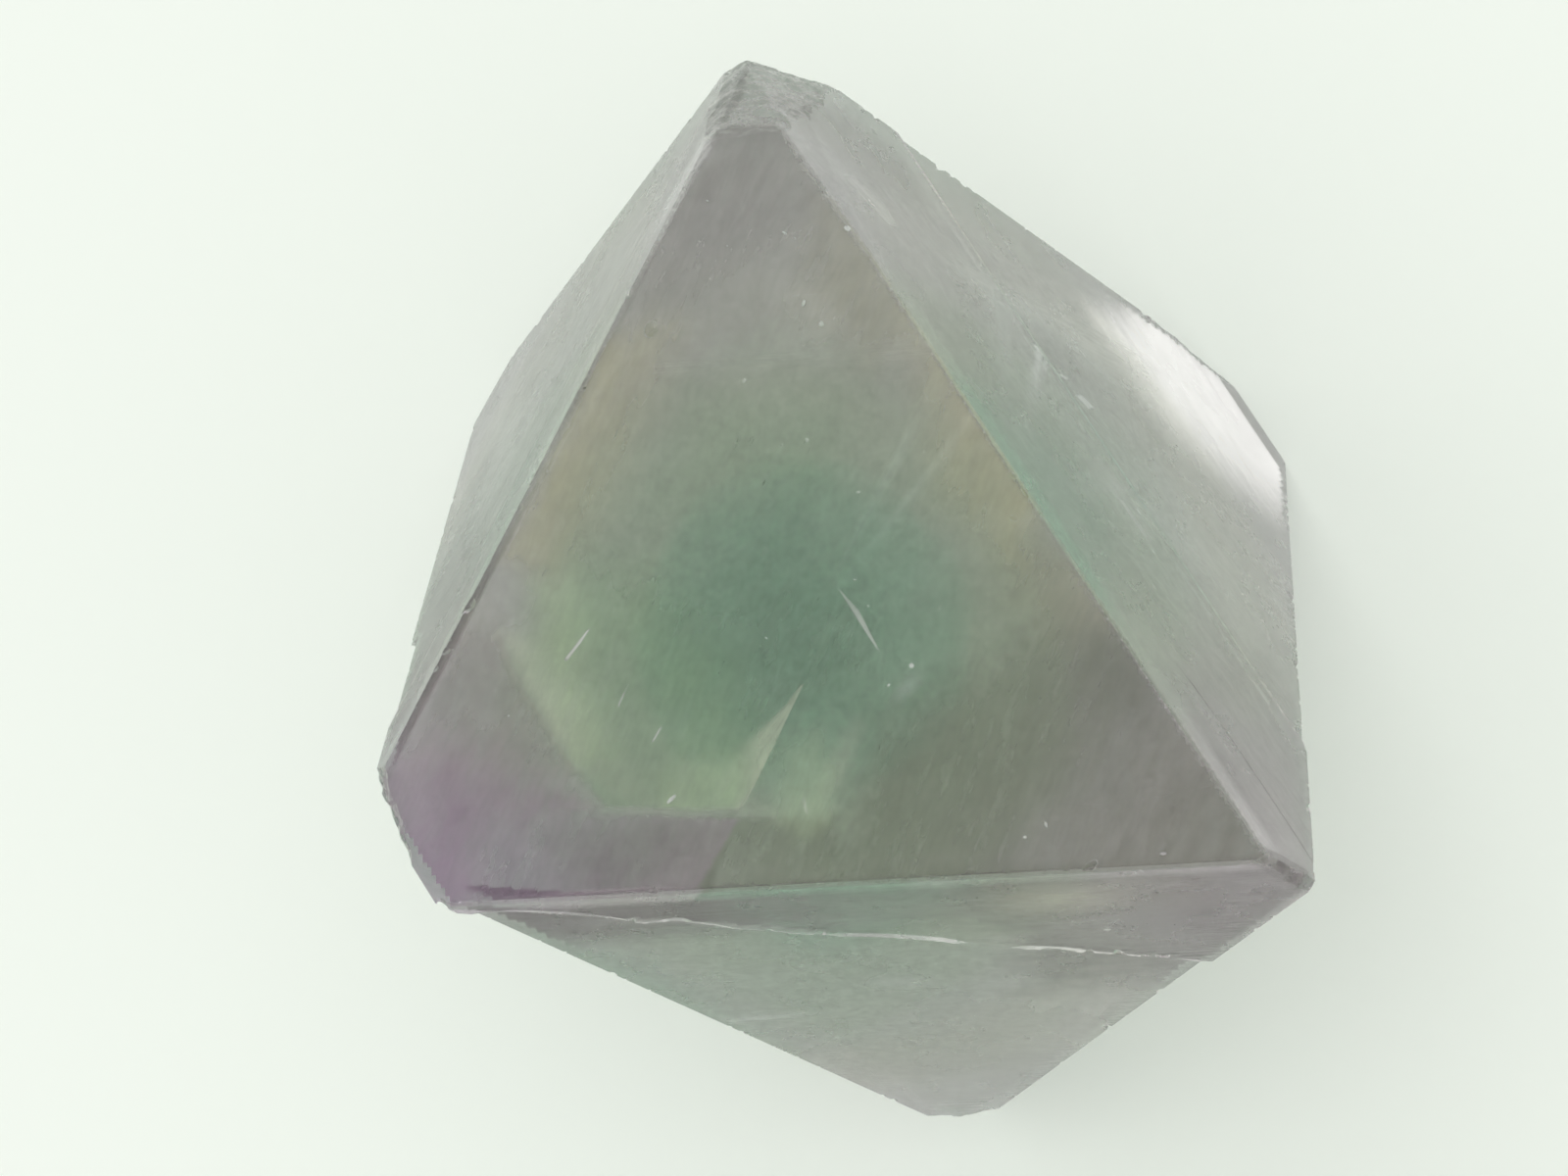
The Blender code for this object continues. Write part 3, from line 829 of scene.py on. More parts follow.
def edge_beads(tree, given):
    """Points along the sharp edges, some of them dropped at random."""
    angle = put(tree, "GeometryNodeInputMeshEdgeAngle").outputs[0]
    between = maths(tree, "COMPARE", angle, CLEAVAGE_ANGLE, 0.12)
    lines = put(tree, "GeometryNodeMeshToCurve", {"Mesh": given["Geometry"], "Selection": between})
    spaced = {"Curve": lines.outputs[0], "Length": given["Spacing"]}
    beads = put(tree, "GeometryNodeCurveToPoints", spaced, mode="LENGTH")
    dropped = put(
        tree,
        "FunctionNodeCompare",
        {0: random_value(tree, 0.0, 1.0, given["Seed"], 0), 1: given["Share"]},
        data_type="FLOAT",
        operation="GREATER_THAN",
    )
    unwanted = {"Geometry": beads.outputs[0], "Selection": dropped.outputs[0]}
    return put(tree, "GeometryNodeDeleteGeometry", unwanted)


def any_turn(tree, seed):
    """A random turn about all three axes."""
    return put(tree, "FunctionNodeRandomValue", {
        0: (0.0, 0.0, 0.0), 1: (math.tau, math.tau, math.tau), "Seed": seed,
    }, data_type="FLOAT_VECTOR").outputs[0]


def nick_tree():
    """Small bites out of the sharp edges, spaced along them at random."""
    tree = bpy.data.node_groups.new("Edge nicks", "GeometryNodeTree")
    declare(tree, "INPUT", [
        ("Geometry", "Geometry", None),
        ("Material", "Material", None),
        ("Middle", "Vector", (0, 0, 0)),
        ("Spacing", "Float", 0.0005),
        ("Share", "Float", 0.4),
        ("Smallest", "Float", 0.00004),
        ("Largest", "Float", 0.0002),
        ("Seed", "Int", 1),
    ])
    declare(tree, "OUTPUT", [("Geometry", "Geometry", None)])
    given = put(tree, "NodeGroupInput").outputs
    seed = given["Seed"]
    chance = random_value(tree, 0.0, 1.0, seed, 1)
    span = maths(tree, "SUBTRACT", given["Largest"], given["Smallest"])
    share = maths(tree, "POWER", chance, 3.0)
    size = maths(tree, "ADD", given["Smallest"], maths(tree, "MULTIPLY", span, share))
    position = put(tree, "GeometryNodeInputPosition").outputs[0]
    outward = vector_maths(tree, "NORMALIZE", vector_maths(tree, "SUBTRACT", position, given["Middle"]))
    lifted = put(tree, "GeometryNodeSetPosition", {
        "Geometry": edge_beads(tree, given).outputs[0],
        "Offset": scaled(tree, outward, maths(tree, "MULTIPLY", size, 0.35)),
    })
    shape = put(tree, "ShaderNodeCombineXYZ", {
        "X": size,
        "Y": maths(tree, "MULTIPLY", size, 0.7),
        "Z": maths(tree, "MULTIPLY", size, random_value(tree, 0.8, 2.2, seed, 3)),
    })
    pebble = put(tree, "GeometryNodeMeshIcoSphere", {"Radius": 1.0, "Subdivisions": 2})
    laid = put(tree, "GeometryNodeInstanceOnPoints", {
        "Points": lifted.outputs[0],
        "Instance": pebble.outputs["Mesh"],
        "Rotation": any_turn(tree, maths(tree, "ADD", seed, 2.0)),
        "Scale": shape.outputs[0],
    })
    real = put(tree, "GeometryNodeRealizeInstances", {"Geometry": laid.outputs[0]})
    return end_tree(tree, carve(tree, given["Geometry"], real.outputs[0]), given["Material"])


def fleck_tree():
    """A small flat grain at each point, as large as the point's own size says and turned at random."""
    tree = bpy.data.node_groups.new("Flecks", "GeometryNodeTree")
    declare(tree, "INPUT", [
        ("Geometry", "Geometry", None),
        ("Material", "Material", None),
        ("Flatness", "Float", 0.3),
        ("Seed", "Int", 1),
    ])
    declare(tree, "OUTPUT", [("Geometry", "Geometry", None)])
    given = put(tree, "NodeGroupInput").outputs
    size = put(tree, "GeometryNodeInputNamedAttribute", {"Name": "size"}, data_type="FLOAT").outputs[0]
    shape = put(tree, "ShaderNodeCombineXYZ", {
        "X": size,
        "Y": maths(tree, "MULTIPLY", size, random_value(tree, 0.35, 0.9, given["Seed"], 1)),
        "Z": maths(tree, "MULTIPLY", size, given["Flatness"]),
    })
    grain = put(tree, "GeometryNodeMeshIcoSphere", {"Radius": 1.0, "Subdivisions": 1})
    laid = put(tree, "GeometryNodeInstanceOnPoints", {
        "Points": given["Geometry"],
        "Instance": grain.outputs["Mesh"],
        "Rotation": any_turn(tree, given["Seed"]),
        "Scale": shape.outputs[0],
    })
    return end_tree(tree, laid.outputs[0], given["Material"])


# ---------------------------------------------------------------- the crystal


def new_piece(name, data):
    """A new object in the scene with this mesh."""
    piece = bpy.data.objects.new(name, data)
    bpy.context.scene.collection.objects.link(piece)
    return piece


def mesh_data(name, mesh):
    """The finished mesh, as data for a piece."""
    data = bpy.data.meshes.new(name)
    mesh.to_mesh(data)
    mesh.free()
    return data


def crystal_copy(name):
    """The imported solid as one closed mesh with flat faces, in a new object."""
    mesh = bmesh.new()
    mesh.from_mesh(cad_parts[CAD_NODE].data)
    bmesh.ops.remove_doubles(mesh, verts=mesh.verts, dist=1e-6)
    bmesh.ops.dissolve_limit(mesh, angle_limit=0.002, verts=mesh.verts, edges=mesh.edges)
    return new_piece(name, mesh_data(name, mesh))


def nearest_face(normal, closest=0.9995):
    """The name of the cleavage face with this normal, or None for a broken surface."""
    name = max(FACES, key=lambda key: FACES[key][0].dot(normal))
    return name if FACES[name][0].dot(normal) > closest else None


def broken_corners(piece):
    """The groups of touching broken flats that stand proud, as lists of polygons, without the slim flat."""
    data = piece.data
    points = np.array([vertex.co for vertex in data.vertices])
    loose = []
    for polygon in data.polygons:
        normal = np.array(polygon.normal)
        level = normal @ np.array(data.vertices[polygon.vertices[0]].co)
        proud = (points @ normal).max() < level + PROUD_GAP * MM
        if proud and nearest_face(polygon.normal) is None and polygon.normal.dot(SLIM_FLAT) < 0.999:
            loose.append(polygon)
    groups = []
    for polygon in loose:
        corners = set(polygon.vertices)
        touching = [group for group in groups if any(corners & set(other.vertices) for other in group)]
        merged = [polygon] + [member for group in touching for member in group]
        groups = [group for group in groups if group not in touching] + [merged]
    return groups


def break_values(piece, group, roughness, spacing):
    """The break tree's inputs for one broken corner."""
    data = piece.data
    group = sorted(group, key=lambda polygon: -polygon.area)[:4]
    corners = [data.vertices[index].co for polygon in group for index in polygon.vertices]
    total = sum(polygon.area for polygon in group)
    centre = sum((polygon.center * polygon.area for polygon in group), Vector()) / total
    axis = sum((polygon.normal * polygon.area for polygon in group), Vector()).normalized()
    side = axis.orthogonal().normalized()
    size = 2 * max((corner - centre).length for corner in corners) + 1.2 * MM
    values = {
        "Centre": centre,
        "Axis": axis,
        "Side": side,
        "Other Side": axis.cross(side),
        "Size": size,
        "Rows": int(size / spacing) + 2,
        "Roughness": roughness,
    }
    for number in range(1, 5):
        polygon = group[min(number, len(group)) - 1]
        values[f"Normal {number}"] = polygon.normal.copy()
        values[f"Distance {number}"] = polygon.normal.dot(data.vertices[polygon.vertices[0]].co)
    return values


def map_faces(piece):
    """Lays the map along each face's steps, in millimetres, and marks how satin or broken each corner is."""
    data = piece.data
    count = len(data.loops)
    chart = np.zeros((count, 2))
    broken, satin, streaks = np.zeros(count), np.zeros(count), np.zeros(count)
    for polygon in data.polygons:
        name = nearest_face(polygon.normal, 0.985)
        normal = polygon.normal
        along = FACES[name][1] if name else normal.orthogonal().normalized()
        across = normal.cross(along)
        for loop in polygon.loop_indices:
            spot = data.vertices[data.loops[loop].vertex_index].co
            chart[loop] = spot.dot(along) / MM, spot.dot(across) / MM
            broken[loop] = 0.0 if name else 1.0
            satin[loop] = SATIN.get(name, HIDDEN_SATIN)
            streaks[loop] = FRONT_STREAKS if name == "front" else OTHER_STREAKS
    data.uv_layers.new(name="Cleavage")
    data.uv_layers["Cleavage"].data.foreach_set("uv", chart.ravel())
    for key, values in (("broken", broken), ("satin", satin), ("streaks", streaks)):
        data.attributes.new(key, "FLOAT", "CORNER")
        data.attributes[key].data.foreach_set("value", values)


def flake_values(name, row, seed):
    """The flake tree's inputs for one cleavage face, from its row of a count and five lengths."""
    normal, along = FACES[name]
    count, reach_along, reach_across, length, width, depth = row
    return {
        "Count": count,
        "Seed": seed,
        "Centre": MIDDLE + normal * (FACE_DISTANCE[name] - normal.dot(MIDDLE)),
        "Normal": normal,
        "Along": along,
        "Across": normal.cross(along),
        "Reach Along": reach_along * MM,
        "Reach Across": reach_across * MM,
        "Length": length * MM,
        "Width": width * MM,
        "Depth": depth * MM,
        "Waviness": 0.05 * MM,
    }


def ledge_values(seed):
    """The flake tree's inputs for the bites that make the ledge across the lower face wavy."""
    start, end = (MIDDLE + MM * (tip * TIP + left * LEFT + right * RIGHT) for tip, left, right in LEDGE)
    along = (end - start).normalized()
    normal = FACES["lower"][0]
    values = flake_values("lower", LEDGE_BITES, seed)
    centre = (start + end) / 2
    centre += normal * (FACE_DISTANCE["lower"] - normal.dot(centre))
    return {**values, "Centre": centre, "Along": along, "Across": normal.cross(along)}


# ---------------------------------------------------------------- materials


def new_material(name):
    material = bpy.data.materials.new(name)
    material.use_nodes = True
    material.node_tree.nodes.clear()
    return material, material.node_tree


def absorption(tree, through, thickness):
    """Plain volume absorption that lets this colour through a thickness, in metres."""
    rates = [-math.log(max(share, 0.001)) / thickness for share in through]
    density = max(rates) * 1.25
    colour = [1 - rate / density for rate in rates] + [1.0]
    return put(tree, "ShaderNodeVolumeAbsorption", {"Color": colour, "Density": density})


def colour_ramp(tree, factor, stops, interpolation="EASE"):
    """A colour ramp with these (position, colour) stops."""
    ramp = put(tree, "ShaderNodeValToRGB", {0: factor})
    ramp.color_ramp.interpolation = interpolation
    elements = ramp.color_ramp.elements
    while len(elements) > 1:
        elements.remove(elements[-1])
    elements[0].position, elements[0].color = stops[0][0], (*stops[0][1], 1.0)
    for position, colour in stops[1:]:
        elements.new(position).color = (*colour, 1.0)
    return ramp.outputs["Color"]


def cleavage_surface_group():
    """Satin of a cleaved face: fine streaks along its steps, soft ripples and clouded patches."""
    tree = bpy.data.node_groups.new("Cleavage surface", "ShaderNodeTree")
    declare(tree, "INPUT", [
        ("Streaks", "Float", 1.0),
        ("Satin", "Float", 0.25),
        ("Broken", "Float", 0.0),
    ])
    declare(tree, "OUTPUT", [("Height", "Float", None), ("Roughness", "Float", None)])
    given = put(tree, "NodeGroupInput").outputs
    chart = put(tree, "ShaderNodeUVMap", uv_map="Cleavage").outputs[0]
    long_way = put(tree, "ShaderNodeMapping", {"Vector": chart, "Scale": (0.35, 9.0, 1.0)}).outputs[0]
    fine_way = put(tree, "ShaderNodeMapping", {"Vector": chart, "Scale": (1.3, 40.0, 1.0)}).outputs[0]
    bands = noise_value(tree, long_way, 1.0, 4.0, 0.6)
    lines = noise_value(tree, fine_way, 1.0, 2.0)
    spot = put(tree, "ShaderNodeTexCoord").outputs["Object"]
    cloud = noise_value(tree, spot, 420.0, 5.0, 0.6)
    grain = noise_value(tree, spot, 5200.0, 2.0)
    streak = maths(tree, "ADD", bands, maths(tree, "MULTIPLY", lines, 0.25))
    height = maths(tree, "MULTIPLY", streak, given["Streaks"])
    height = maths(tree, "ADD", height, maths(tree, "MULTIPLY", grain, 0.06))
    whole = maths(tree, "SUBTRACT", 1.0, given["Broken"])
    satin = maths(tree, "MULTIPLY", given["Satin"], whole)
    satin = maths(tree, "MULTIPLY", maths(tree, "ADD", 0.5, cloud), satin)
    broken = maths(tree, "MULTIPLY", given["Broken"], 0.12)
    put(tree, "NodeGroupOutput", {
        "Height": maths(tree, "MULTIPLY", height, whole),
        "Roughness": maths(tree, "ADD", satin, broken),
    })
    return tree


def zone_tint_group():
    """Faint colour of the skin: rings round the middle and tinted corners, cloudy and mottled."""
    tree = bpy.data.node_groups.new("Zone tint", "ShaderNodeTree")
    declare(tree, "INPUT", [
        ("Middle", "Vector", (0, 0, 0)),
        ("Inradius", "Float", 0.009),
        ("Wander", "Float", 0.16),
        ("Mottle", "Float", 0.20),
        ("Cloud", "Float", 0.10),
    ])
    declare(tree, "OUTPUT", [("Color", "Color", None)])
    given = put(tree, "NodeGroupInput").outputs
    spot = put(tree, "ShaderNodeTexCoord").outputs["Object"]
    per_inradius = maths(tree, "DIVIDE", 1.0, given["Inradius"])
    own = scaled(tree, vector_maths(tree, "SUBTRACT", spot, given["Middle"]), per_inradius)
    radius = vector_maths(tree, "LENGTH", own)
    drift = noise_value(tree, spot, 260.0, 3.0)
    wander = maths(tree, "MULTIPLY", maths(tree, "SUBTRACT", drift, 0.5), given["Wander"])
    radius = maths(tree, "ADD", radius, wander)
    share = ranged(tree, radius, TINT_START, TINT_END)
    span = TINT_END - TINT_START
    rings = colour_ramp(tree, share, [((at - TINT_START) / span, colour) for at, colour in TINTS])
    for corner, start, end, colour in CORNER_TINTS:
        near = vector_maths(tree, "DOT_PRODUCT", own, tuple(corner))
        near = ranged(tree, near, start, end, shape="SMOOTHSTEP")
        rings = mixed(tree, near, rings, (*colour, 1.0), "MULTIPLY")
    fine = ranged(tree, noise_value(tree, spot, 3600.0, 3.0, 0.6), 0.35, 0.65)
    core = ranged(tree, radius, 1.0, 1.35, 1.0, 0.35)
    mottle = maths(tree, "MULTIPLY", maths(tree, "SUBTRACT", 1.0, fine), given["Mottle"])
    dim = maths(tree, "MULTIPLY", mottle, core)
    cloud = ranged(tree, noise_value(tree, spot, 620.0, 5.0, 0.62), 0.3, 0.7)
    clouded = maths(tree, "MULTIPLY", maths(tree, "SUBTRACT", 1.0, cloud), given["Cloud"])
    dim = maths(tree, "ADD", dim, clouded)
    put(tree, "NodeGroupOutput", {"Color": scaled(tree, rings, maths(tree, "SUBTRACT", 1.0, dim))})
    return tree


def mixed(tree, factor, first, second, blend="MIX"):
    """Two colours mixed by a factor."""
    made = put(tree, "ShaderNodeMix", data_type="RGBA", blend_type=blend)
    for socket, value in ((made.inputs[0], factor), (made.inputs[6], first), (made.inputs[7], second)):
        if isinstance(value, bpy.types.NodeSocket):
            tree.links.new(value, socket)
        else:
            socket.default_value = value
    return made.outputs[2]


def crystal_material(looks):
    """Clear fluorite: plain transmission and absorption, a satin skin and a faint tint in zones."""
    material, tree = new_material("fluorite_crystal")
    surface = put(tree, "ShaderNodeGroup", node_tree=cleavage_surface_group())
    broken = put(tree, "ShaderNodeAttribute", attribute_name="broken").outputs["Fac"]
    satin = put(tree, "ShaderNodeAttribute", attribute_name="satin").outputs["Fac"]
    tree.links.new(broken, surface.inputs["Broken"])
    tree.links.new(satin, surface.inputs["Satin"])
    streaks = put(tree, "ShaderNodeAttribute", attribute_name="streaks").outputs["Fac"]
    tree.links.new(streaks, surface.inputs["Streaks"])
    bump = put(tree, "ShaderNodeBump", {
        "Height": surface.outputs["Height"], "Distance": 0.00003, "Strength": 1.0,
    })
    tint = put(tree, "ShaderNodeGroup", node_tree=zone_tint_group())
    tint.inputs["Middle"].default_value = MIDDLE
    tint.inputs["Inradius"].default_value = INRADIUS
    shader = put(tree, "ShaderNodeBsdfPrincipled", {
        "Base Color": tint.outputs["Color"],
        "Roughness": surface.outputs["Roughness"],
        "Normal": bump.outputs[0],
        "IOR": CRYSTAL_IOR,
        "Transmission Weight": 1.0,
    })
    inside = absorption(tree, looks.body_colour, looks.colour_depth)
    put(tree, "ShaderNodeOutputMaterial", {"Surface": shader.outputs[0], "Volume": inside.outputs[0]})
    return material


def zone_material(name, colour, thickness, milkiness=0.0):
    """Stuff inside the crystal that bends no light: it only absorbs, or only scatters."""
    material, tree = new_material(name)
    shader = put(tree, "ShaderNodeBsdfPrincipled", {
        "Base Color": (1.0, 1.0, 1.0, 1.0),
        "Roughness": 0.0,
        "IOR": 1.0,
        "Transmission Weight": 1.0,
        "Alpha": 0.0,
    })
    if milkiness:
        milk = {"Color": (*colour, 1.0), "Density": milkiness, "Anisotropy": 0.3}
        inside = put(tree, "ShaderNodeVolumeScatter", milk)
    else:
        inside = absorption(tree, colour, thickness)
    put(tree, "ShaderNodeOutputMaterial", {"Surface": shader.outputs[0], "Volume": inside.outputs[0]})
    return material


def veil_material(name, stretch, contrast):
    """Thin sheets of milky clouding, colour, painted shade and painted light: how solid, what colour and how
    much glow come from the mesh, broken up by fine fibres. The glow is painted light, used only by the glare
    patch.
    """
    material, tree = new_material(name)
    milky = put(tree, "ShaderNodeAttribute", attribute_name="milky").outputs["Fac"]
    tint = put(tree, "ShaderNodeAttribute", attribute_name="tint").outputs
    chart = put(tree, "ShaderNodeUVMap", uv_map="Veil").outputs[0]
    fibre_way = put(tree, "ShaderNodeMapping", {"Vector": chart, "Scale": (*stretch, 1.0)}).outputs[0]
    fibre = noise_value(tree, fibre_way, 1.0, 5.0, 0.65)
    fibre = ranged(tree, fibre, 0.25, 0.75, 1 - contrast, 1 + contrast)
    solid = maths(tree, "MULTIPLY", milky, fibre)
    # Its mirror images in the faces are left out: they are far fainter than the veil itself.
    ray_depth = put(tree, "ShaderNodeLightPath").outputs["Ray Depth"]
    direct = maths(tree, "LESS_THAN", ray_depth, 1.5)
    solid = maths(tree, "MULTIPLY", solid, direct)
    shader = put(tree, "ShaderNodeBsdfPrincipled", {
        "Base Color": tint["Color"],
        # The glow is painted light; only the glare patch has any.
        "Emission Color": scaled(tree, tint["Color"], tint["Alpha"]),
        "Emission Strength": 1.0,
        "Roughness": 0.6,
        "IOR": 1.0,
        "Alpha": put(tree, "ShaderNodeClamp", {"Value": solid}).outputs[0],
    })
    put(tree, "ShaderNodeOutputMaterial", {"Surface": shader.outputs[0]})
    material.cycles.emission_sampling = "NONE"
    return material


# ---------------------------------------------------------------- pieces


def fade(share, start, end):
    """How solid a veil is at this share of the way across, when its start and its end fade out."""
    rise = min(1.0, share / start) if start else 1.0
    fall = min(1.0, (1 - share) / end) if end else 1.0
    return rise * rise * (3 - 2 * rise) * fall * fall * (3 - 2 * fall)


def along_line(points, share):
    """The point at this share of a line's legs, all legs counting the same."""
    legs = len(points) - 1
    leg = min(int(share * legs), legs - 1)
    return Vector(points[leg]).lerp(Vector(points[leg + 1]), share * legs - leg)


def hidden_veils():
    """A few soft veils under each face that nothing else marks, as rows like those of VEILS."""
    draw = random.Random(11)
    rows = []
    for face in ("tip_back", "right_back", "left_back", "lower", "left"):
        for _ in range(5):
            x, y = draw.uniform(-5, 5), draw.uniform(-4, 5)
            length, width = draw.uniform(1.5, 4.5), draw.uniform(0.4, 1.3)
            slope = draw.uniform(-0.3, 0.3)
            first = [(x, y), (x + length, y + slope * length)]
            second = [(x - 0.2, y + width), (x + length + 0.3, y + width + slope * length)]
            depth, strength = draw.uniform(0.3, 1.2), draw.uniform(0.15, 0.4)
            row = (face, depth, strength, (0.5, 0.5, 0.4, 0.5), PALE, first, second)
            rows.append(row)
    return rows


def veils_mesh(name):
    """All the veils in one mesh, each a fine sheet between its two edges."""
    steps_across = 12
    mesh = bmesh.new()
    milky = mesh.verts.layers.float.new("milky")
    tint = mesh.verts.layers.float_color.new("tint")
    chart = mesh.loops.layers.uv.new("Veil")
    for number, (face, depth, strength, fades, colour, first, second) in enumerate(VEILS + hidden_veils()):
        steps_along = 12 * (len(first) - 1)
        length = sum((Vector(low) - Vector(high)).length for low, high in zip(first, first[1:]))
        breadth = max((Vector(one) - Vector(other)).length for one, other in zip(first, second))
        rows = []
        for i in range(steps_along + 1):
            ahead = i / steps_along
            one, other = along_line(first, ahead), along_line(second, ahead)
            row = []
            for j in range(steps_across + 1):
                aside = j / steps_across
                flat = one.lerp(other, aside)
                wave = 0.08 * noise.noise(Vector((flat.x * 0.8, flat.y * 0.8, number)))
                vertex = mesh.verts.new(held_inside(on_face(face, flat.x, flat.y, depth + wave)))
                vertex[milky] = strength * fade(ahead, *fades[:2]) * fade(aside, *fades[2:])
                vertex[tint] = (*colour, 0.0)
                row.append((vertex, (ahead * length + 7 * number, aside * breadth)))
            rows.append(row)
        for low, high in zip(rows, rows[1:]):
            for j in range(steps_across):
                corners = [low[j], low[j + 1], high[j + 1], high[j]]
                made = mesh.faces.new([corner for corner, _ in corners])
                for loop, (_, flat) in zip(made.loops, corners):
                    loop[chart].uv = flat
    return new_piece(name, mesh_data(name, mesh))


def outline_share(places, outline):
    """How much each place is inside an outline, whose third numbers say how soft its edge is."""
    x, y = places.T
    deep = np.full(len(places), np.inf)
    inside = np.zeros(len(places), bool)
    for (x0, y0, soft0), (x1, y1, soft1) in zip(outline, outline[1:] + outline[:1]):
        run, rise = x1 - x0, y1 - y0
        share = np.clip(((x - x0) * run + (y - y0) * rise) / (run**2 + rise**2), 0, 1)
        gap = np.hypot(x - x0 - share * run, y - y0 - share * rise)
        deep = np.minimum(deep, gap / (soft0 + share * (soft1 - soft0)))
        crossing = x0 + (y - y0) * run / (rise or 1.0)
        inside ^= ((y0 > y) != (y1 > y)) & (x < crossing)
    share = np.clip(0.5 + np.where(inside, deep, -deep) / 2, 0, 1)
    return share * share * (3 - 2 * share)


def face_net(face):
    """A net under a face: places on the face in mm, points, squares, and how much each shows."""
    depth, spacing, clear_of_front = NETS[face]
    ticks = np.arange(-NET_REACH, NET_REACH, spacing)
    places = np.stack([part.ravel() for part in np.meshgrid(ticks, ticks, indexing="ij")], axis=1)
    start, ahead, aside = (np.array(on_face(face, *spot)) for spot in ((0, 0), (1, 0), (0, 1)))
    points = start + places @ np.stack([ahead - start, aside - start])
    kept = (PLANES[:, 3] - points @ PLANES[:, :3].T).min(axis=1) > -depth * MM
    normal = FACES[face][0]
    for index in np.flatnonzero(kept):
        above = Vector(points[index]) + normal * MM
        spot, facing, _, _ = SOLID.ray_cast(above, -normal, 2 * MM)
        if spot is None or facing.dot(normal) < 0.99:
            spot = above - normal * MM
        spot -= normal * depth * MM
        points[index] = spot
        under_front = FACE_DISTANCE["front"] - FACES["front"][0].dot(spot)
        kept[index] = room(spot) > NET_MARGIN * MM and under_front > clear_of_front * MM
    number = np.cumsum(kept) - 1
    rows = len(ticks)
    low = np.arange(rows * rows).reshape(rows, rows)[:-1, :-1].ravel()
    squares = np.stack([low, low + rows, low + rows + 1, low + 1], axis=1)
    squares = number[squares[kept[squares].all(axis=1)]]
    others = PLANES[PLANES[:, :3] @ np.array(normal) < 0.99]
    inner = (others[:, 3] - points[kept] @ others[:, :3].T).min(axis=1) / MM
    below = (FACE_DISTANCE["front"] - points[kept] @ np.array(FACES["front"][0])) / MM
    shown = np.clip((inner - NET_MARGIN) / NET_FADE, 0, 1)
    if face != "front":
        shown *= np.clip((below - clear_of_front) / FRONT_FADE, 0, 1)
    return places[kept], points[kept], squares, shown


def drifting(places, scale_along, scale_across, seed):
    """Cloudy noise at each place, about -1 to 1, drawn out along the face."""
    return np.array([
        noise.fractal(Vector((x * scale_along, y * scale_across, seed)), 0.8, 2.1, 4) for x, y in places
    ])


def sheet_mesh(name, rows):
    """One mesh of several nets, each row a net with its colours and how solid it is at each point."""
    points, squares, charts, colours, solid = [], [], [], [], []
    count = 0
    for net_places, net_points, net_squares, net_colours, net_solid in rows:
        points.append(net_points)
        squares.append(net_squares + count)
        charts.append(net_places)
        colours.append(net_colours)
        solid.append(net_solid)
        count += len(net_points)
    squares = np.concatenate(squares)
    data = bpy.data.meshes.new(name)
    data.from_pydata(np.concatenate(points).tolist(), [], squares.tolist())
    colours = np.concatenate(colours)
    data.attributes.new("tint", "FLOAT_COLOR", "POINT")
    data.attributes["tint"].data.foreach_set("color", colours.ravel())
    data.attributes.new("milky", "FLOAT", "POINT")
    data.attributes["milky"].data.foreach_set("value", np.concatenate(solid))
    data.uv_layers.new(name="Veil")
    data.uv_layers["Veil"].data.foreach_set("uv", np.concatenate(charts)[squares.ravel()].ravel())
    return new_piece(name, data)


def patch_rows():
    """The colour patches, painted shade and painted light, and the clouds under the upper faces."""
    for seed, (face, patches) in enumerate(PATCHES.items()):
        places, points, squares, shown = face_net(face)
        wander = [drifting(places, 0.8, 0.8, seed + own_seed) for own_seed in (7, 47)]
        wander = OUTLINE_WANDER * np.stack(wander, axis=1)
        clouds = CLOUDS[face] * np.clip(drifting(places, 0.22, 0.9, seed + 120) + 0.15, 0, 1)
        clear = 1 - clouds
        colours = np.outer(clouds, (*PALE, 0.0))
        total = clouds.copy()
        for colour, strength, outline in patches:
            share = strength * outline_share(places + wander, outline)
            clear *= 1 - share
            colours += np.outer(share, colour)
            total += share
        colours = np.where(total[:, None] > 0, colours / np.maximum(total, 1e-9)[:, None], 1.0)
        turn = GRAIN.get(face, 0.0)
        along = places @ np.array([math.cos(turn), math.sin(turn)])
        across = places @ np.array([-math.sin(turn), math.cos(turn)])
        squares = squares[clear[squares].min(axis=1) < 0.99]
        yield np.stack([along, across], axis=1), points, squares, colours, (1 - clear) * shown


def way_out(spot, way, margin):
    """How far one can go from a spot this way and still be this deep under every plane of the solid."""
    gaps = PLANES[:, 3] - PLANES[:, :3] @ np.array(spot) - margin
    slopes = PLANES[:, :3] @ np.array(way)
    return max(0.0, float((gaps[slopes > 0.01] / slopes[slopes > 0.01]).min()))


def blob_mesh(name, centre, radius, squareness, wobble, layer):
    """A closed rounded body inside the crystal. Squareness 0 is round, and each layer has a margin."""
    mesh = bmesh.new()
    bmesh.ops.create_icosphere(mesh, subdivisions=5, radius=1.0)
    margin = (0.57 + 0.11 * layer) * MM
    middle = place(*centre)
    for vertex in mesh.verts:
        way = vertex.co.normalized()
        reach = radius * INRADIUS
        if squareness:
            flat = sum(abs(way.dot(normal)) ** squareness for normal, _ in FACES.values()) / 2
            reach /= flat ** (1 / squareness)
        reach *= 1 + wobble * noise.noise(way * 2.2 + Vector((3.0 * layer, 0, 0)))
        vertex.co = middle + way * min(reach, way_out(middle, way, margin))
    data = mesh_data(name, mesh)
    for polygon in data.polygons:
        polygon.use_smooth = True
    return new_piece(name, data)


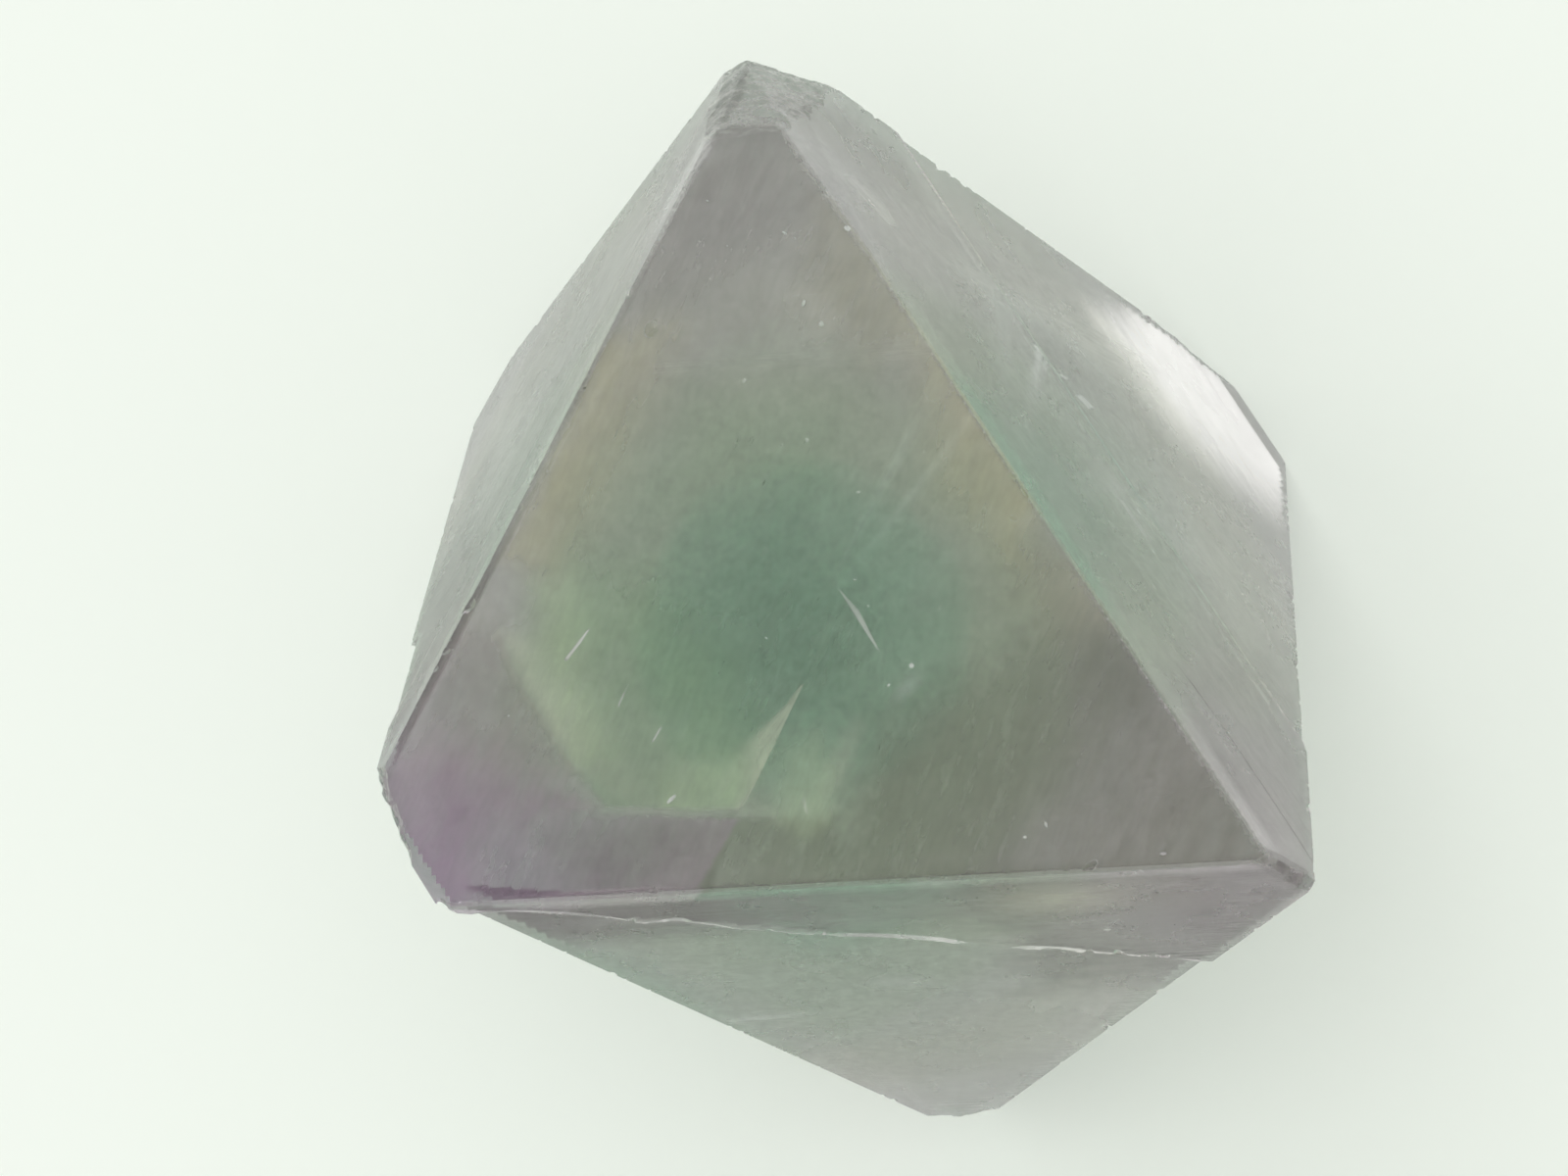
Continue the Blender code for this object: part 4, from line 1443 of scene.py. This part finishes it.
def studio_light(looks):
    """Even daylight from all round, brighter in one wide soft patch."""
    world = bpy.data.worlds.new("Studio")
    world.use_nodes = True
    tree = world.node_tree
    tree.nodes.clear()
    way = put(tree, "ShaderNodeTexCoord").outputs["Generated"]
    facing = vector_maths(tree, "DOT_PRODUCT", way, tuple(Vector(WINDOW_WAY).normalized()))
    patch = maths(tree, "POWER", maths(tree, "MAXIMUM", facing, 0.0), 2.5)
    strength = maths(tree, "ADD", looks.daylight, maths(tree, "MULTIPLY", patch, looks.window_light))
    sky = put(tree, "ShaderNodeBackground", {"Color": (0.97, 0.99, 0.96, 1.0), "Strength": strength})
    put(tree, "ShaderNodeOutputWorld", {"Surface": sky.outputs[0]})
    world.cycles.sampling_method = "NONE"
    return world


def points_inside(count, seed, margin, smallest, largest):
    """Random spots in the crystal with random sizes, most of them small, as (spot, size) pairs in metres."""
    draw = random.Random(seed)
    reach = 1.8 * INRADIUS
    found = []
    while len(found) < count:
        spot = MIDDLE + Vector([draw.uniform(-reach, reach) for _ in range(3)])
        if room(spot) > margin:
            found.append((spot, smallest + (largest - smallest) * draw.random() ** 3))
    return found


def points_object(name, spots):
    """Loose points with a size each, to lay grains on."""
    data = bpy.data.meshes.new(name)
    data.from_pydata([spot for spot, _ in spots], [], [])
    data.attributes.new("size", "FLOAT", "POINT")
    data.attributes["size"].data.foreach_set("value", [size for _, size in spots])
    return new_piece(name, data)


def grain_material(name, colour, other, roughness):
    """Plain small grains whose colour drifts a little from one to the next."""
    material, tree = new_material(name)
    spot = put(tree, "ShaderNodeTexCoord").outputs["Object"]
    drift = noise_value(tree, spot, 900.0, 2.0)
    shader = put(tree, "ShaderNodeBsdfPrincipled", {
        "Base Color": mixed(tree, drift, (*colour, 1.0), (*other, 1.0)),
        "Roughness": roughness,
        "IOR": 1.0,
    })
    put(tree, "ShaderNodeOutputMaterial", {"Surface": shader.outputs[0]})
    return material


def settle(piece, material=None):
    """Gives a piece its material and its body."""
    if material:
        piece.data.materials.clear()
        piece.data.materials.append(material)
    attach(piece, BODY)
    return piece


# ---------------------------------------------------------------- settings


class FluoriteCrystalSettings(bpy.types.PropertyGroup):
    """Sizes and finish of the crystal's outside."""

    body_colour: FloatVectorProperty(
        name="Body colour",
        description="Colour that is left of white light after it has crossed the colour depth",
        default=(0.925, 0.91, 0.925),
        min=0.01,
        max=1.0,
        subtype="COLOR",
    )
    colour_depth: FloatProperty(
        name="Colour depth",
        description="How much crystal the light crosses to take on the body colour",
        default=0.015,
        min=0.001,
        unit="LENGTH",
    )
    break_roughness: FloatProperty(
        name="Break roughness",
        description="Depth of the roughness on the broken corners",
        default=0.00012,
        min=0.0,
        unit="LENGTH",
    )
    break_spacing: FloatProperty(
        name="Break spacing",
        description="Distance between the points of a broken surface",
        default=0.00007,
        min=0.00003,
        unit="LENGTH",
    )
    nick_size: FloatProperty(
        name="Nick size",
        description="Largest bite out of a sharp edge",
        default=0.00022,
        min=0.0,
        unit="LENGTH",
    )


class FluoriteInsideSettings(bpy.types.PropertyGroup):
    """What is sealed in the crystal."""

    milkiness: FloatProperty(
        name="Milkiness",
        description="How strongly the haze inside scatters light, per metre",
        default=64.0,
        min=0.0,
    )
    flecks: IntProperty(
        name="Bright flecks",
        description="How many small bright flecks are spread through the crystal",
        default=420,
        min=0,
    )
    specks: IntProperty(
        name="Dark specks",
        description="How many small dark specks are spread through the crystal",
        default=60,
        min=0,
    )


class FluoriteStageSettings(bpy.types.PropertyGroup):
    """Floor, light and camera."""

    lens: FloatProperty(
        name="Lens",
        description="Focal length of the camera on a 36 mm frame",
        default=102.9,
        min=10.0,
        unit="CAMERA",
    )
    daylight: FloatProperty(
        name="Daylight",
        description="Strength of the even light from all round",
        default=0.78,
        min=0.0,
    )
    window_light: FloatProperty(
        name="Window light",
        description="How much brighter the wide soft patch at the upper left is",
        default=0.85,
        min=0.0,
    )


# ---------------------------------------------------------------- operators


class FLUORITE_OT_crystal(bpy.types.Operator):
    """Builds the crystal itself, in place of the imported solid."""

    bl_idname = "fluorite.crystal"
    bl_label = "Crystal"

    def execute(self, context):
        looks = context.scene.fluorite_crystal
        material = crystal_material(looks)
        piece = crystal_copy("fluorite_crystal")
        corners = [
            break_values(piece, group, looks.break_roughness, looks.break_spacing)
            for group in broken_corners(piece)
        ]
        flakes, breaks, nicks = flake_tree(), break_tree(), nick_tree()
        for number, (name, rows) in enumerate(FLAKES.items()):
            for step, row in enumerate(rows):
                values = flake_values(name, row, 100 * number + 31 * step + 1)
                apply_nodes(piece, flakes, {**values, "Material": material})
        apply_nodes(piece, flakes, {**ledge_values(77), "Material": material})
        apply_nodes(piece, nicks, {
            "Material": material,
            "Middle": MIDDLE,
            "Spacing": 0.45 * MM,
            "Share": 0.5,
            "Smallest": 0.04 * MM,
            "Largest": looks.nick_size,
            "Seed": 5,
        })
        for values in corners:
            apply_nodes(piece, breaks, {**values, "Material": material})
        map_faces(piece)
        settle(piece, material)
        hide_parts(CAD_NODE)
        return {"FINISHED"}


class FLUORITE_OT_inside(bpy.types.Operator):
    """Builds the colour zones and the haze inside the crystal."""

    bl_idname = "fluorite.inside"
    bl_label = "Inside"

    def execute(self, context):
        looks = context.scene.fluorite_inside
        for number, (name, centre, radius, squareness, wobble, colour, depth) in enumerate(ZONES):
            material = zone_material(name, colour, depth * MM)
            settle(blob_mesh(name, centre, radius, squareness, wobble, number + 1), material)
        settle(sheet_mesh("inner_tints_and_painted_light", patch_rows()), veil_material("fluorite_tints_and_painted_light", (0.6, 2.4), 0.25))
        settle(veils_mesh("inner_veils"), veil_material("fluorite_veil", (0.7, 5.0), 0.4))
        tree = fleck_tree()
        bright = grain_material("fluorite_fleck", (0.97, 0.98, 0.95), (0.86, 0.93, 0.90), 0.4)
        dark = grain_material("fluorite_speck", (0.05, 0.06, 0.05), (0.16, 0.15, 0.11), 0.6)
        for name, rows, count, sizes, seed, material in (
            ("inner_flecks", GLINTS, looks.flecks, FLECK_SIZES, 21, bright),
            ("inner_specks", SPECKS, looks.specks, SPECK_SIZES, 22, dark),
        ):
            spots = [(held_inside(on_face(*row[:4])), row[4] * MM) for row in rows]
            spots += points_inside(count, seed, 0.1 * MM, sizes[0] * MM, sizes[1] * MM)
            grains = points_object(name, spots)
            values = {"Material": material, "Flatness": 0.3, "Seed": seed}
            settle(apply_nodes(grains, tree, values), material)
        haze = blob_mesh("zone_haze", (0.0, 0.0, 0.0), 0.97, 8, 0.0, 0)
        settle(haze, zone_material("fluorite_haze", (0.95, 0.97, 0.95), 1.0, looks.milkiness))
        return {"FINISHED"}


class FLUORITE_OT_stage(bpy.types.Operator):
    """Lays the floor and sets the light and the camera."""

    bl_idname = "fluorite.stage"
    bl_label = "Stage"

    def execute(self, context):
        looks = context.scene.fluorite_stage
        scene = context.scene
        mesh = bmesh.new()
        bmesh.ops.create_grid(mesh, x_segments=1, y_segments=1, size=FLOOR_REACH)
        data = mesh_data("floor", mesh)
        data.transform(Matrix.Translation((0, 0, -FLOOR_GAP * MM)))
        floor = new_piece("floor", data)
        material, tree = new_material("floor_paper")
        finish = {"Base Color": (0.93, 0.965, 0.915, 1.0), "Roughness": 0.9}
        paper = put(tree, "ShaderNodeBsdfPrincipled", finish)
        put(tree, "ShaderNodeOutputMaterial", {"Surface": paper.outputs[0]})
        data.materials.append(material)

        scene.world = studio_light(looks)

        forward = Vector(CAMERA_AHEAD).normalized()
        up = Vector(CAMERA_UP).normalized()
        right = forward.cross(up).normalized()
        up = right.cross(forward)
        turned = Matrix((right, up, -forward)).transposed()
        camera = bpy.data.objects.new("Camera", bpy.data.cameras.new("Camera"))
        camera.data.lens = looks.lens
        camera.data.clip_start = 0.005
        camera.location = MIDDLE + Vector(CAMERA_PLACE) * MM
        camera.rotation_euler = turned.to_euler()
        scene.collection.objects.link(camera)
        scene.camera = camera

        scene.view_settings.view_transform = "Standard"
        scene.cycles.max_bounces = 8
        scene.cycles.transmission_bounces = 8
        scene.cycles.transparent_max_bounces = 96
        scene.cycles.glossy_bounces = 4
        scene.cycles.volume_bounces = 1
        return {"FINISHED"}


class FLUORITE_PT_panel(bpy.types.Panel):
    """Lists the settings and the operators."""

    bl_idname = "FLUORITE_PT_panel"
    bl_label = "Fluorite Octahedron"
    bl_space_type = "VIEW_3D"
    bl_region_type = "UI"
    bl_category = "Fluorite"

    def draw(self, context):
        for settings, operators in PANEL_ROWS:
            box = self.layout.box()
            group = getattr(context.scene, settings)
            for key in group.bl_rna.properties.keys():
                if key not in {"rna_type", "name"}:
                    box.prop(group, key)
            for operator in operators:
                box.operator(operator)


PANEL_ROWS = [
    ("fluorite_crystal", ["fluorite.crystal"]),
    ("fluorite_inside", ["fluorite.inside"]),
    ("fluorite_stage", ["fluorite.stage"]),
]
SETTINGS = {
    "fluorite_crystal": FluoriteCrystalSettings,
    "fluorite_inside": FluoriteInsideSettings,
    "fluorite_stage": FluoriteStageSettings,
}
OPERATORS = [FLUORITE_OT_crystal, FLUORITE_OT_inside, FLUORITE_OT_stage]
CLASSES = [*SETTINGS.values(), *OPERATORS, FLUORITE_PT_panel]


def register():
    for entry in CLASSES:
        bpy.utils.register_class(entry)
    for name, settings in SETTINGS.items():
        setattr(bpy.types.Scene, name, PointerProperty(type=settings))


def unregister():
    for name in SETTINGS:
        delattr(bpy.types.Scene, name)
    for entry in reversed(CLASSES):
        bpy.utils.unregister_class(entry)


def main():
    """Builds everything in order."""
    register()
    bpy.ops.fluorite.crystal()
    bpy.ops.fluorite.inside()
    bpy.ops.fluorite.stage()


if __name__ == "__main__":
    main()
